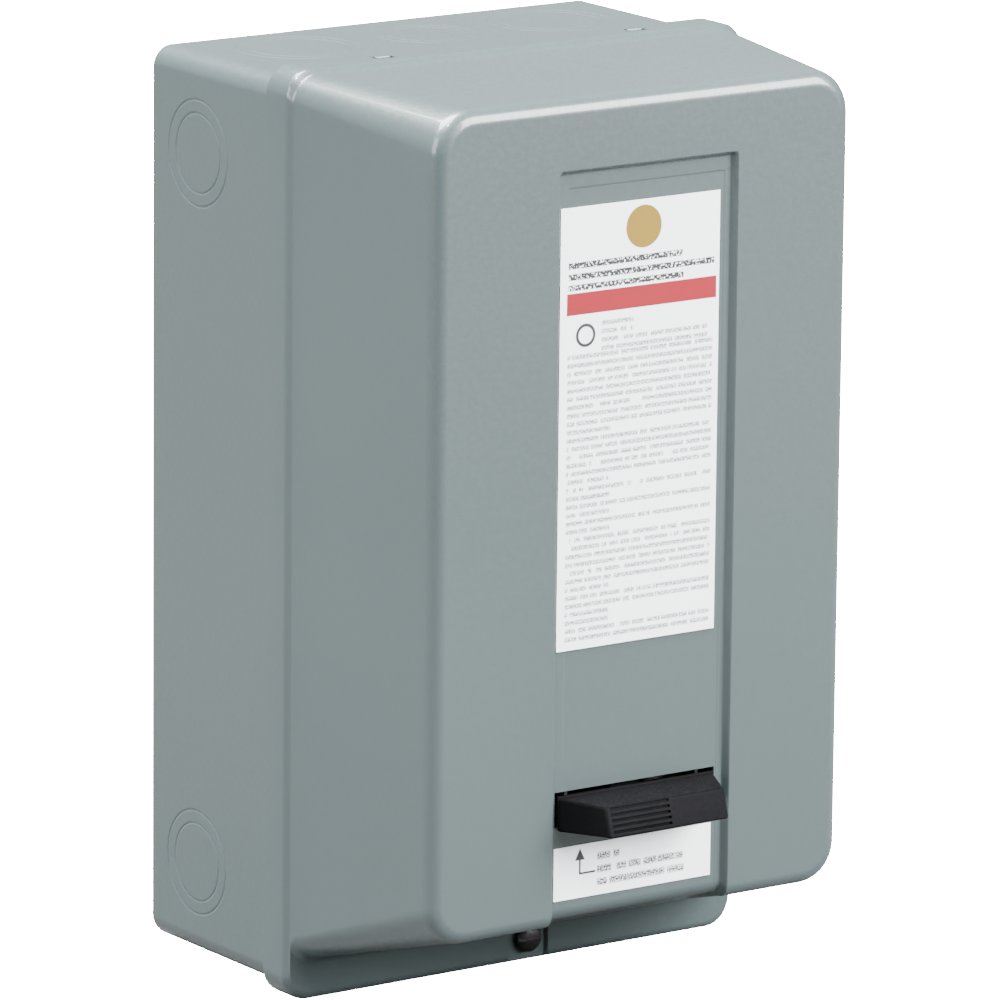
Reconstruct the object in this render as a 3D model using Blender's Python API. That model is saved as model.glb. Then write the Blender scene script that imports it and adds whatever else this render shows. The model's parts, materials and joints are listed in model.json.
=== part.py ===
"""A full-voltage magnetic motor starter in a sheet steel wall box.

A drawn back box carries a three-pole contactor and an overload relay on a mounting plate. A drawn front cover
hangs on two hook tabs at the top, closes with one screw at the bottom, and carries the reset lever.

Metres, +Z up, +X to the right, the front faces -Y. The origin is the centre of the back face, which lies on
the wall. Heights are counted from the box's middle, and depths are counted forward from the wall.
"""

import math

import bmesh
import bpy
from mathutils import Matrix, Vector

MM = 0.001
GAP = 0.3 * MM

# Back box.
BOX_HALF_WIDTH = 74.1 * MM
BOX_HALF_HEIGHT = 127.0 * MM
BOX_DEPTH = 69.5 * MM
BOX_CORNER = 6.0 * MM
BOX_BEND = 3.0 * MM
SHEET = 1.3 * MM

# Front cover: a straight rim round the box, a step in to a body with draft, and a shoulder at the bottom.
RIM_REAR = 61.8 * MM
RIM_FRONT = 70.8 * MM
RIM_HALF_WIDTH = 76.0 * MM
RIM_TOP = 130.5 * MM
RIM_BOTTOM = -129.7 * MM
RIM_CORNER = 8.0 * MM
STEP_LENGTH = 2.5 * MM
STEP_IN = 1.35 * MM
SHOULDER_DEPTH = 73.9 * MM
SHOULDER_TOP = -116.5 * MM
BODY_HALF_WIDTH = 68.6 * MM
BODY_TOP = 127.2 * MM
BODY_BOTTOM = -101.8 * MM
BODY_TOP_CORNER = 12.0 * MM
BODY_LOW_CORNER = 11.0 * MM
FRONT_DEPTH = 132.4 * MM
FRONT_FILLET = 4.2 * MM

# Debossed panel in the cover's front.
PANEL_CENTRE = 1.0 * MM
PANEL_HALF_WIDTH = 28.0 * MM
PANEL_WALL = 1.7 * MM
PANEL_SINK = 2.0 * MM
PANEL_TOP = 106.4 * MM
PANEL_DEPTH = FRONT_DEPTH - PANEL_SINK

# Cover screw and its pocket.
SCREW_X = 5.2 * MM
SCREW_Z = -122.8 * MM
POCKET_HALF_WIDTH = 6.0 * MM
POCKET_TOP = -117.6 * MM
POCKET_FLOOR = 72.2 * MM
SCREW_SHANK = 1.7 * MM

# Hook tabs on the box's top front edge.
HOOK_XS = (-42.0 * MM, 42.0 * MM)
HOOK_HALF_WIDTH = 2.6 * MM
HOOK_DEPTH = 66.6 * MM

# Reset lever and its pivot.
LEVER_X = 0.0
PIVOT_DEPTH = 125.4 * MM
PIVOT_Z = -69.5 * MM
BAR_HALF_WIDTH = 26.2 * MM
BAR_FRONT_HALF_WIDTH = 19.8 * MM
BAR_TOP = -65.3 * MM
BAR_BOTTOM = -74.7 * MM
BAR_FRONT_TOP = 144.5 * MM
BAR_FRONT_BOTTOM = 147.2 * MM
SLOT_TOP = -63.8 * MM
SLOT_BOTTOM = -73.6 * MM

# Labels.
LABEL_X = -0.8 * MM
LABEL_HALF_WIDTH = 26.3 * MM
LABEL_THICKNESS = 0.25 * MM

# Mounting plate and what stands on it.
PLATE_DEPTH = 8.5 * MM
PLATE_THICKNESS = 1.5 * MM
PLATE_BOSSES = ((-38, -72), (38, -72), (-38, 98), (38, 98))
DEVICE_BACK = PLATE_DEPTH + PLATE_THICKNESS + GAP

# Contactor.
CONTACTOR_Z = 50.0 * MM
POLE_XS = (-20.0 * MM, 0.0, 20.0 * MM)
CARRIER_TRAVEL = 4.2 * MM
STRAP_DEPTH = 62.3 * MM
STRAP_THICKNESS = 1.5 * MM

# Overload relay.
PLUNGER_Z = -43.0 * MM
NOSE_FRONT = 86.0 * MM
PLUNGER_HEAD = 101.0 * MM

ROUND_STEPS = 20
CORNER_STEPS = 5


# ---------------------------------------------------------------- materials


def material(name, color, roughness, metallic=0.0):
    made = bpy.data.materials.new(name)
    made.use_nodes = True
    shader = made.node_tree.nodes["Principled BSDF"]
    shader.inputs["Base Color"].default_value = (*color, 1.0)
    shader.inputs["Roughness"].default_value = roughness
    shader.inputs["Metallic"].default_value = metallic
    made.diffuse_color = (*color, 1.0)
    return made


def make_materials():
    return {
        "enamel": material("grey_enamel", (0.26, 0.31, 0.31), 0.35),
        "zinc": material("zinc_plated_steel", (0.62, 0.62, 0.60), 0.35, 1.0),
        "blackened": material("blackened_steel", (0.035, 0.035, 0.037), 0.42, 0.7),
        "black": material("black_plastic", (0.02, 0.02, 0.022), 0.45),
        "moulding": material("contactor_moulding", (0.035, 0.033, 0.032), 0.5),
        "relay": material("relay_moulding", (0.05, 0.05, 0.055), 0.5),
        "copper": material("tinned_copper", (0.72, 0.55, 0.38), 0.35, 1.0),
        "brass": material("brass", (0.75, 0.58, 0.30), 0.3, 1.0),
        "core": material("core_laminations", (0.36, 0.36, 0.37), 0.4, 1.0),
        "winding": material("coil_tape", (0.45, 0.16, 0.08), 0.5),
        "bobbin": material("bobbin_nylon", (0.75, 0.73, 0.66), 0.45),
        "spring": material("spring_steel", (0.55, 0.55, 0.56), 0.3, 1.0),
        "label": material("label_vinyl", (0.82, 0.84, 0.86), 0.4),
        "plunger": material("red_plastic", (0.55, 0.03, 0.03), 0.4),
        "ground": material("green_screw", (0.03, 0.28, 0.10), 0.4, 1.0),
        "wire": material("wire_insulation", (0.03, 0.03, 0.035), 0.5),
    }


# ---------------------------------------------------------------- shapes


def clear_scene():
    for thing in list(bpy.data.objects):
        bpy.data.objects.remove(thing, do_unlink=True)


def place(x, depth, z):
    """A point from its distance right, forward from the wall, and up."""
    return Vector((x, -depth, z))


def box(x, depth, z, bevel=0.0):
    """A block from three (low, high) pairs."""
    low = place(x[0], depth[1], z[0])
    high = place(x[1], depth[0], z[1])
    shape = bmesh.new()
    bmesh.ops.create_cube(shape, size=1.0)
    bmesh.ops.scale(shape, vec=high - low, verts=shape.verts)
    bmesh.ops.translate(shape, vec=(low + high) / 2, verts=shape.verts)
    if bevel:
        round_edges(shape, shape.edges[:], bevel)
    return shape


def round_edges(shape, edges, width, segments=1):
    bmesh.ops.bevel(
        shape,
        geom=edges,
        offset=width,
        segments=segments,
        profile=0.5,
        affect="EDGES",
        material=-1,
    )


def prism(outline, axis, low, high):
    """An outline extruded along X, Y or Z. Its points give the two other coordinates in X, Y, Z order."""
    shape = bmesh.new()
    corners = []
    for first, second in outline:
        coordinates = [first, second]
        coordinates.insert("XYZ".index(axis), low)
        corners.append(shape.verts.new(coordinates))
    face = shape.faces.new(corners)
    swept = bmesh.ops.extrude_face_region(shape, geom=[face])
    moved = [item for item in swept["geom"] if isinstance(item, bmesh.types.BMVert)]
    shift = Vector((0, 0, 0))
    shift["XYZ".index(axis)] = high - low
    bmesh.ops.translate(shape, vec=shift, verts=moved)
    bmesh.ops.recalc_face_normals(shape, faces=shape.faces)
    return shape


def rod(start, end, radius, steps=ROUND_STEPS, end_radius=None):
    """A round bar or a cone between two points."""
    start = Vector(start)
    end = Vector(end)
    shape = bmesh.new()
    bmesh.ops.create_cone(
        shape,
        cap_ends=True,
        segments=steps,
        radius1=radius,
        radius2=radius if end_radius is None else end_radius,
        depth=(end - start).length,
    )
    turn = Vector((0, 0, 1)).rotation_difference(end - start).to_matrix()
    bmesh.ops.transform(
        shape,
        matrix=Matrix.Translation((start + end) / 2) @ turn.to_4x4(),
        verts=shape.verts,
    )
    return shape


def forward_rod(x, z, back, front, radius, steps=ROUND_STEPS, end_radius=None):
    return rod(place(x, back, z), place(x, front, z), radius, steps, end_radius)


def sideways_rod(depth, z, left, right, radius, steps=ROUND_STEPS):
    return rod(place(left, depth, z), place(right, depth, z), radius, steps)


def loft(loops):
    """A closed body through loops of equal length, capped at both ends."""
    shape = bmesh.new()
    rows = []
    for loop in loops:
        rows.append([shape.verts.new(point) for point in loop])
    for row, after in zip(rows, rows[1:]):
        for i in range(len(row)):
            j = (i + 1) % len(row)
            shape.faces.new((row[i], row[j], after[j], after[i]))
    shape.faces.new(rows[0])
    shape.faces.new(rows[-1])
    bmesh.ops.recalc_face_normals(shape, faces=shape.faces)
    return shape


def rounded_loop(depth, half_width, bottom, top, high, low):
    """A rounded rectangle, upright and parallel to the wall, from its high and low corner radii."""
    corners = (
        (half_width - high, top - high, high, 0.0),
        (high - half_width, top - high, high, 0.5 * math.pi),
        (low - half_width, bottom + low, low, math.pi),
        (half_width - low, bottom + low, low, 1.5 * math.pi),
    )
    points = []
    for x, z, corner, start in corners:
        for step in range(CORNER_STEPS + 1):
            angle = start + 0.5 * math.pi * step / CORNER_STEPS
            points.append(
                place(x + corner * math.cos(angle), depth, z + corner * math.sin(angle))
            )
    return points


def tube_along(centres, radius, sides):
    """A round wire through points, with flat ends. Each ring is turned from the one before it."""
    loops = []
    side = None
    for i, centre in enumerate(centres):
        before = centres[max(i - 1, 0)]
        after = centres[min(i + 1, len(centres) - 1)]
        ahead = (after - before).normalized()
        if side is None:
            side = ahead.orthogonal()
        side = (side - ahead * side.dot(ahead)).normalized()
        up = ahead.cross(side)
        ring = []
        for step in range(sides):
            angle = 2 * math.pi * step / sides
            ring.append(
                centre + radius * (math.cos(angle) * side + math.sin(angle) * up)
            )
        loops.append(ring)
    return loft(loops)


def coil_spring(x, z, back, front, radius, wire, turns, steps=10):
    """A compression spring whose axis points forward. Its wire's centre stays inside back and front."""
    centres = []
    for step in range(turns * steps + 1):
        share = step / (turns * steps)
        angle = 2 * math.pi * step / steps
        depth = back + wire + (front - back - 2 * wire) * share
        centres.append(
            place(x + radius * math.cos(angle), depth, z + radius * math.sin(angle))
        )
    return tube_along(centres, wire, 5)


def smooth_route(points, step):
    """Points a set distance apart on a smooth curve through the route's own points."""
    ends = [2 * points[0] - points[1], *points, 2 * points[-1] - points[-2]]
    route = []
    for before, start, end, after in zip(ends, ends[1:], ends[2:], ends[3:]):
        count = max(1, round((end - start).length / step))
        for i in range(count):
            t = i / count
            route.append(
                0.5
                * (
                    2 * start
                    + (end - before) * t
                    + (2 * before - 5 * start + 4 * end - after) * t**2
                    + (3 * start - before - 3 * end + after) * t**3
                )
            )
    route.append(points[-1])
    return route


# ---------------------------------------------------------------- objects


def mesh_object(name, shape, origin=(0, 0, 0)):
    """An object from a bmesh in world coordinates, with its own origin."""
    bmesh.ops.translate(shape, vec=-Vector(origin), verts=shape.verts)
    mesh = bpy.data.meshes.new(name)
    shape.to_mesh(mesh)
    shape.free()
    made = bpy.data.objects.new(name, mesh)
    made.location = origin
    bpy.context.collection.objects.link(made)
    return made


def helper(name, shape):
    made = mesh_object(name, shape)
    made.hide_render = True
    made.display_type = "WIRE"
    return made


def part(name, finish, add, cut=(), origin=(0, 0, 0), crease=35):
    """A named piece: the first shape joined with the others, then cut."""
    made = mesh_object(name, add[0], origin)
    made.data.materials.append(finish)
    steps = [("UNION", shape) for shape in add[1:]]
    steps += [("DIFFERENCE", shape) for shape in cut]
    for number, (operation, shape) in enumerate(steps):
        modifier = made.modifiers.new(f"{operation.lower()}_{number}", "BOOLEAN")
        modifier.operation = operation
        modifier.object = helper(f"{name}_{operation.lower()}_{number}", shape)
    made.data.shade_smooth()
    made.data.set_sharp_from_angle(angle=math.radians(crease))
    return made


# ---------------------------------------------------------------- enclosure


def box_loop(depth, inset, sheet=0.0):
    """The box's outline at a depth, drawn in by an inset."""
    return rounded_loop(
        depth,
        BOX_HALF_WIDTH - inset - sheet,
        -BOX_HALF_HEIGHT + inset + sheet,
        BOX_HALF_HEIGHT - inset - sheet,
        BOX_CORNER - 0.6 * (inset + sheet),
        BOX_CORNER - 0.6 * (inset + sheet),
    )


def make_base_box(finish):
    """One drawn pan: back, four sides, four plate bosses, two hook tabs and a screw tab."""
    bend = []
    for step in range(4):
        angle = 0.5 * math.pi * step / 3
        bend.append(
            (BOX_BEND * (1 - math.sin(angle)), BOX_BEND * (1 - math.cos(angle)))
        )
    outer = [box_loop(depth, inset) for inset, depth in bend]
    inner = [box_loop(SHEET + depth, inset, SHEET) for inset, depth in bend]
    inner.append(box_loop(BOX_DEPTH, 0.0, SHEET))
    pan = loft([*outer, box_loop(BOX_DEPTH, 0.0), *reversed(inner)])

    add = [pan]
    for x, z in PLATE_BOSSES:
        add.append(
            forward_rod(
                x * MM, z * MM, 0.6 * MM, PLATE_DEPTH - GAP, 7 * MM, 16, 5 * MM
            )
        )
    for x in HOOK_XS:
        add.append(
            box(
                (x - HOOK_HALF_WIDTH, x + HOOK_HALF_WIDTH),
                (HOOK_DEPTH, HOOK_DEPTH + SHEET),
                (BOX_HALF_HEIGHT - 0.5 * SHEET, RIM_TOP + 0.3 * MM),
            )
        )
    add.append(
        box(
            (SCREW_X - 7 * MM, SCREW_X + 7 * MM),
            (BOX_DEPTH - SHEET, BOX_DEPTH),
            (-BOX_HALF_HEIGHT + 0.5 * SHEET, -114 * MM),
        )
    )

    cut = [
        forward_rod(SCREW_X, SCREW_Z, 60 * MM, 75 * MM, SCREW_SHANK + 0.2 * MM, 16),
        forward_rod(0, 112 * MM, -1 * MM, 4 * MM, 5 * MM, 16),
        box((-2.5 * MM, 2.5 * MM), (-1 * MM, 4 * MM), (112 * MM, 120 * MM)),
    ]
    for x in (-45 * MM, 45 * MM):
        cut.append(
            box(
                (x - 2.6 * MM, x + 2.6 * MM), (-1 * MM, 4 * MM), (-114 * MM, -105 * MM)
            )
        )
    part("base_box", finish, add, cut)


def cover_sections():
    """Depth, half width, bottom, top and corner radii of the cover's outer skin, from rear to front."""
    rim = (RIM_HALF_WIDTH, RIM_BOTTOM, RIM_TOP, RIM_CORNER, RIM_CORNER)
    sections = [
        (RIM_REAR, *rim),
        (RIM_FRONT, *rim),
        (
            RIM_FRONT + STEP_LENGTH,
            RIM_HALF_WIDTH - STEP_IN,
            RIM_BOTTOM + 0.6 * MM,
            RIM_TOP - STEP_IN,
            RIM_CORNER,
            RIM_CORNER,
        ),
        (
            SHOULDER_DEPTH,
            RIM_HALF_WIDTH - STEP_IN,
            SHOULDER_TOP,
            RIM_TOP - STEP_IN,
            RIM_CORNER,
            5 * MM,
        ),
    ]
    for step in range(5):
        angle = 0.5 * math.pi * step / 4
        inset = FRONT_FILLET * (1 - math.cos(angle))
        sections.append(
            (
                FRONT_DEPTH - FRONT_FILLET * (1 - math.sin(angle)),
                BODY_HALF_WIDTH - inset,
                BODY_BOTTOM + inset,
                BODY_TOP - inset,
                BODY_TOP_CORNER - 0.7 * inset,
                BODY_LOW_CORNER - 0.7 * inset,
            )
        )
    return sections


def panel_space(floor, front, margin, bottom):
    """The debossed panel's space between two depths. Its walls slope in towards the floor."""
    loops = []
    for depth in (floor, front):
        spread = margin + PANEL_WALL * (depth - PANEL_DEPTH) / PANEL_SINK
        left = PANEL_CENTRE - PANEL_HALF_WIDTH - spread
        right = PANEL_CENTRE + PANEL_HALF_WIDTH + spread
        top = PANEL_TOP + spread
        loops.append(
            [
                place(left, depth, bottom),
                place(right, depth, bottom),
                place(right, depth, top),
                place(left, depth, top),
            ]
        )
    return loft(loops)


def make_front_cover(finish):
    """One drawn shell: rim, shoulder, drafted body, debossed panel, lever slot, hook slots and pocket."""
    sections = cover_sections()
    outer = [rounded_loop(*section) for section in sections]
    inner = []
    for depth, half_width, bottom, top, high, low in sections:
        inner.append(
            rounded_loop(
                depth if depth == RIM_REAR else depth - SHEET,
                half_width - SHEET,
                bottom + SHEET,
                top - SHEET,
                high - 1 * MM,
                low - 1 * MM,
            )
        )
    add = [
        loft([*reversed(outer), *inner]),
        panel_space(
            PANEL_DEPTH - SHEET,
            FRONT_DEPTH - 0.4 * SHEET,
            0.8 * SHEET,
            BODY_BOTTOM + 1.8 * MM,
        ),
        box(
            (SCREW_X - POCKET_HALF_WIDTH - SHEET, SCREW_X + POCKET_HALF_WIDTH + SHEET),
            (POCKET_FLOOR - SHEET, SHOULDER_DEPTH),
            (RIM_BOTTOM + 0.5 * SHEET, POCKET_TOP + SHEET),
        ),
    ]
    clear = FRONT_DEPTH + 4 * MM
    cut = [
        panel_space(PANEL_DEPTH, clear, 0.0, BODY_BOTTOM - 9 * MM),
        box(
            (LEVER_X - BAR_HALF_WIDTH - 0.5 * MM, LEVER_X + BAR_HALF_WIDTH + 0.5 * MM),
            (PANEL_DEPTH - 3 * MM, clear),
            (SLOT_BOTTOM, SLOT_TOP),
        ),
        box(
            (SCREW_X - POCKET_HALF_WIDTH, SCREW_X + POCKET_HALF_WIDTH),
            (POCKET_FLOOR, SHOULDER_DEPTH + 4 * MM),
            (RIM_BOTTOM - 2 * MM, POCKET_TOP),
        ),
        forward_rod(SCREW_X, SCREW_Z, 60 * MM, 90 * MM, SCREW_SHANK + 0.2 * MM, 16),
    ]
    for x in HOOK_XS:
        cut.append(
            box(
                (x - HOOK_HALF_WIDTH - 0.5 * MM, x + HOOK_HALF_WIDTH + 0.5 * MM),
                (HOOK_DEPTH - 1.0 * MM, HOOK_DEPTH + SHEET + 1.0 * MM),
                (RIM_TOP - 4 * MM, RIM_TOP + 4 * MM),
            )
        )
    part("front_cover", finish, add, cut, origin=place(0, RIM_REAR, RIM_TOP))


def make_cover_screw(finish, washer_finish):
    """A slotted round-head screw in the pocket, held to the cover by a push-on washer."""
    head = POCKET_FLOOR + GAP
    at = place(SCREW_X, head, SCREW_Z)
    add = [
        forward_rod(SCREW_X, SCREW_Z, head, head + 1.6 * MM, 4.2 * MM),
        forward_rod(
            SCREW_X,
            SCREW_Z,
            head + 1.5 * MM,
            head + 2.9 * MM,
            4.2 * MM,
            ROUND_STEPS,
            2.6 * MM,
        ),
        forward_rod(SCREW_X, SCREW_Z, 62 * MM, head + 1 * MM, SCREW_SHANK, 16),
    ]
    slot = box(
        (SCREW_X - 6 * MM, SCREW_X + 6 * MM),
        (head + 1.7 * MM, head + 5 * MM),
        (SCREW_Z - 0.5 * MM, SCREW_Z + 0.5 * MM),
    )
    part("cover_screw", finish, add, [slot], origin=at)

    back = POCKET_FLOOR - SHEET - GAP - 0.6 * MM
    part(
        "cover_screw_washer",
        washer_finish,
        [forward_rod(SCREW_X, SCREW_Z, back, back + 0.6 * MM, 3.4 * MM, 16)],
        [
            forward_rod(
                SCREW_X,
                SCREW_Z,
                back - 1 * MM,
                back + 2 * MM,
                SCREW_SHANK + 0.15 * MM,
                16,
            )
        ],
    )


def make_labels(finish):
    back = PANEL_DEPTH + GAP
    depth = (back, back + LABEL_THICKNESS)
    width = (LABEL_X - LABEL_HALF_WIDTH, LABEL_X + LABEL_HALF_WIDTH)
    part("instruction_label", finish, [box(width, depth, (-24.4 * MM, 97.5 * MM))])
    part("reset_label", finish, [box(width, depth, (-94.3 * MM, -79.4 * MM))])


# ---------------------------------------------------------------- reset lever


def make_reset_lever(finish):
    """A finger bar outside the cover, its neck in the slot, a hub on the pin, and an arm to the plunger."""
    back = PANEL_DEPTH + 0.4 * MM
    bar = loft(
        [
            [
                place(LEVER_X - BAR_HALF_WIDTH, back, BAR_BOTTOM),
                place(LEVER_X + BAR_HALF_WIDTH, back, BAR_BOTTOM),
                place(LEVER_X + BAR_HALF_WIDTH, back, BAR_TOP),
                place(LEVER_X - BAR_HALF_WIDTH, back, BAR_TOP),
            ],
            [
                place(
                    LEVER_X - BAR_FRONT_HALF_WIDTH, BAR_FRONT_BOTTOM, BAR_BOTTOM + 0.8 * MM
                ),
                place(
                    LEVER_X + BAR_FRONT_HALF_WIDTH, BAR_FRONT_BOTTOM, BAR_BOTTOM + 0.8 * MM
                ),
                place(
                    LEVER_X + BAR_FRONT_HALF_WIDTH, BAR_FRONT_TOP, BAR_TOP + 0.5 * MM
                ),
                place(
                    LEVER_X - BAR_FRONT_HALF_WIDTH, BAR_FRONT_TOP, BAR_TOP + 0.5 * MM
                ),
            ],
        ]
    )
    arm_tip = PLUNGER_HEAD + 3.5 * MM + GAP
    arm = prism(
        [
            (-PIVOT_DEPTH - 2.6 * MM, PIVOT_Z),
            (-PIVOT_DEPTH + 1.5 * MM, PIVOT_Z - 2.2 * MM),
            (-arm_tip - 2 * MM, PLUNGER_Z - 3 * MM),
            (-arm_tip, PLUNGER_Z - 2 * MM),
            (-arm_tip, PLUNGER_Z + 5 * MM),
            (-arm_tip - 4 * MM, PLUNGER_Z + 5 * MM),
            (-arm_tip - 5 * MM, PLUNGER_Z - 1 * MM),
        ],
        "X",
        -5 * MM,
        5 * MM,
    )
    half_hub = 20.4 * MM
    add = [
        bar,
        box(
            (LEVER_X - half_hub, LEVER_X + half_hub),
            (PIVOT_DEPTH, back + 1 * MM),
            (-72.2 * MM, -66.8 * MM),
        ),
        sideways_rod(
            PIVOT_DEPTH, PIVOT_Z, LEVER_X - half_hub, LEVER_X + half_hub, 3.2 * MM, 16
        ),
        arm,
    ]
    cut = [
        sideways_rod(PIVOT_DEPTH, PIVOT_Z, -40 * MM, 40 * MM, 1.4 * MM, 12),
        box((8 * MM, 16 * MM), (PIVOT_DEPTH - 5 * MM, PIVOT_DEPTH + 3.4 * MM), (-76 * MM, -62 * MM)),
    ]
    for rib in range(5):
        z = BAR_BOTTOM + (2.2 + 1.7 * rib) * MM
        cut.append(
            box(
                (LEVER_X - 18 * MM, LEVER_X + 1.5 * MM),
                (BAR_FRONT_TOP + (1.3 - 0.42 * rib) * MM, BAR_FRONT_BOTTOM + 2 * MM),
                (z, z + 0.6 * MM),
            )
        )
    part(
        "reset_lever", finish, add, cut, origin=place(LEVER_X, PIVOT_DEPTH, PIVOT_Z)
    )


def make_lever_mount(bracket_finish, pin_finish, spring_finish):
    """A bracket riveted behind the panel, its ears holding the pin, and the torsion spring on the pin."""
    back = PANEL_DEPTH - SHEET - GAP
    ear = 21.2 * MM
    sheet = 1.2 * MM
    add = [
        box(
            (LEVER_X - ear - sheet, LEVER_X + ear + sheet),
            (back - sheet, back),
            (-60 * MM, -53 * MM),
        )
    ]
    for side in (-1, 1):
        near = LEVER_X + side * ear
        far = LEVER_X + side * (ear + sheet)
        add.append(
            box(
                (min(near, far), max(near, far)),
                (PIVOT_DEPTH - 4 * MM, back),
                (PIVOT_Z - 4 * MM, -53 * MM),
            )
        )
    cut = [sideways_rod(PIVOT_DEPTH, PIVOT_Z, -40 * MM, 40 * MM, 1.4 * MM, 12)]
    part("reset_lever_bracket", bracket_finish, add, cut)

    pin = sideways_rod(
        PIVOT_DEPTH, PIVOT_Z, LEVER_X - 24 * MM, LEVER_X + 24 * MM, 1.15 * MM, 12
    )
    part("reset_lever_pin", pin_finish, [pin])

    centres = []
    for step in range(4 * 10 + 1):
        angle = 2 * math.pi * step / 10
        centres.append(
            place(
                (9.4 + 5.2 * step / 40) * MM,
                PIVOT_DEPTH + 2.1 * MM * math.cos(angle),
                PIVOT_Z + 2.1 * MM * math.sin(angle),
            )
        )
    part("reset_lever_spring", spring_finish, [tube_along(centres, 0.4 * MM, 5)])


# ---------------------------------------------------------------- inside: plate and ground


def make_mounting_plate(finish):
    plate = prism(
        [(-47 * MM, -80 * MM), (47 * MM, -80 * MM), (47 * MM, 106 * MM), (-47 * MM, 106 * MM)],
        "Y",
        -PLATE_DEPTH - PLATE_THICKNESS,
        -PLATE_DEPTH,
    )
    corners = [
        edge
        for edge in plate.edges
        if abs(edge.verts[0].co.y - edge.verts[1].co.y) > 0.5 * PLATE_THICKNESS
    ]
    round_edges(plate, corners, 5 * MM, 3)
    cut = []
    for x, z in PLATE_BOSSES:
        cut.append(forward_rod(x * MM, z * MM, 5 * MM, 15 * MM, 2.2 * MM, 12))
    part("mounting_plate", finish, [plate], cut)


def make_ground(lug_finish, screw_finish):
    x = -52 * MM
    z = -102 * MM
    back = SHEET + GAP
    part(
        "ground_lug",
        lug_finish,
        [
            box((x - 6 * MM, x + 6 * MM), (back, back + 2 * MM), (z - 6 * MM, z + 16 * MM)),
            box((x - 5 * MM, x + 5 * MM), (back + 1 * MM, back + 10 * MM), (z + 6 * MM, z + 16 * MM)),
        ],
        [
            forward_rod(x, z, back - 1 * MM, back + 4 * MM, 2.4 * MM, 12),
            rod(place(x, back + 5.5 * MM, z), place(x, back + 5.5 * MM, z + 20 * MM), 3 * MM, 12),
        ],
    )
    head = back + 2 * MM + GAP
    part(
        "ground_screw",
        screw_finish,
        [
            forward_rod(x, z, back, head + 1 * MM, 2.1 * MM, 12),
            forward_rod(x, z, head, head + 1 * MM, 5.2 * MM, 16),
            forward_rod(x, z, head + 0.8 * MM, head + 4 * MM, 4.2 * MM, 6),
        ],
    )


# ---------------------------------------------------------------- contactor


def make_contactor_frame(finish):
    """The rear moulding: two feet and a pocket for the magnet and coil."""
    z = CONTACTOR_Z
    add = [
        box((-34 * MM, 34 * MM), (DEVICE_BACK, 50 * MM), (z - 40 * MM, z + 40 * MM), 1 * MM),
        box((-34 * MM, 34 * MM), (DEVICE_BACK, 15 * MM), (z - 47 * MM, z + 47 * MM)),
    ]
    cut = [
        box((-26 * MM, 26 * MM), (16 * MM, 55 * MM), (z - 30 * MM, z + 30 * MM)),
        box((-40 * MM, 40 * MM), (31.2 * MM, 55 * MM), (z + 12.8 * MM, z + 19.6 * MM)),
    ]
    part("contactor_frame", finish, add, cut)


def make_magnet(core_finish, bobbin_finish, winding_finish, terminal_finish, spring_finish):
    """The fixed E core, the coil on its centre leg, its tabs, and the armature with its return spring."""
    z = CONTACTOR_Z
    stack = (z - 10 * MM, z + 10 * MM)
    legs_front = 41 * MM
    add = [box((-22 * MM, 22 * MM), (16.4 * MM, 24 * MM), stack)]
    for low, high in ((-22, -16), (-5, 5), (16, 22)):
        add.append(box((low * MM, high * MM), (23.5 * MM, legs_front), stack))
    part("fixed_core", core_finish, add)

    hole = box((-5.4 * MM, 5.4 * MM), (20 * MM, 60 * MM), (z - 10.4 * MM, z + 10.4 * MM))
    add = [box((-6.6 * MM, 6.6 * MM), (24.6 * MM, 38.6 * MM), (z - 11.6 * MM, z + 11.6 * MM))]
    for back in (24.6 * MM, 37.2 * MM):
        add.append(
            box((-15.5 * MM, 15.5 * MM), (back, back + 1.4 * MM), (z - 19.5 * MM, z + 19.5 * MM))
        )
    part("coil_bobbin", bobbin_finish, add, [hole])

    winding = box((-14.4 * MM, 14.4 * MM), (26.3 * MM, 36.9 * MM), (z - 18.5 * MM, z + 18.5 * MM))
    along = [
        edge
        for edge in winding.edges
        if abs(edge.verts[0].co.y - edge.verts[1].co.y) > 5 * MM
    ]
    round_edges(winding, along, 4 * MM, 3)
    inner = box((-6.9 * MM, 6.9 * MM), (20 * MM, 60 * MM), (z - 11.9 * MM, z + 11.9 * MM))
    part("coil_winding", winding_finish, [winding], [inner])

    for name, side in (("coil_terminal_left", -1), ("coil_terminal_right", 1)):
        ends = sorted((side * 15 * MM, side * 46 * MM))
        tab = box(tuple(ends), (32 * MM, 32.8 * MM), (z + 13.2 * MM, z + 19.2 * MM))
        hole = forward_rod(side * 42 * MM, z + 16.2 * MM, 30 * MM, 35 * MM, 1 * MM, 10)
        part(name, terminal_finish, [tab], [hole])

    back = legs_front + CARRIER_TRAVEL + GAP
    armature = box((-22 * MM, 22 * MM), (back, back + 7 * MM), stack, 0.6 * MM)
    part("armature", core_finish, [armature])

    spring = coil_spring(0, z, 38.9 * MM, back - 0.2 * MM, 13.6 * MM, 0.45 * MM, 2, 16)
    part("return_spring", spring_finish, [spring])


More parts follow.
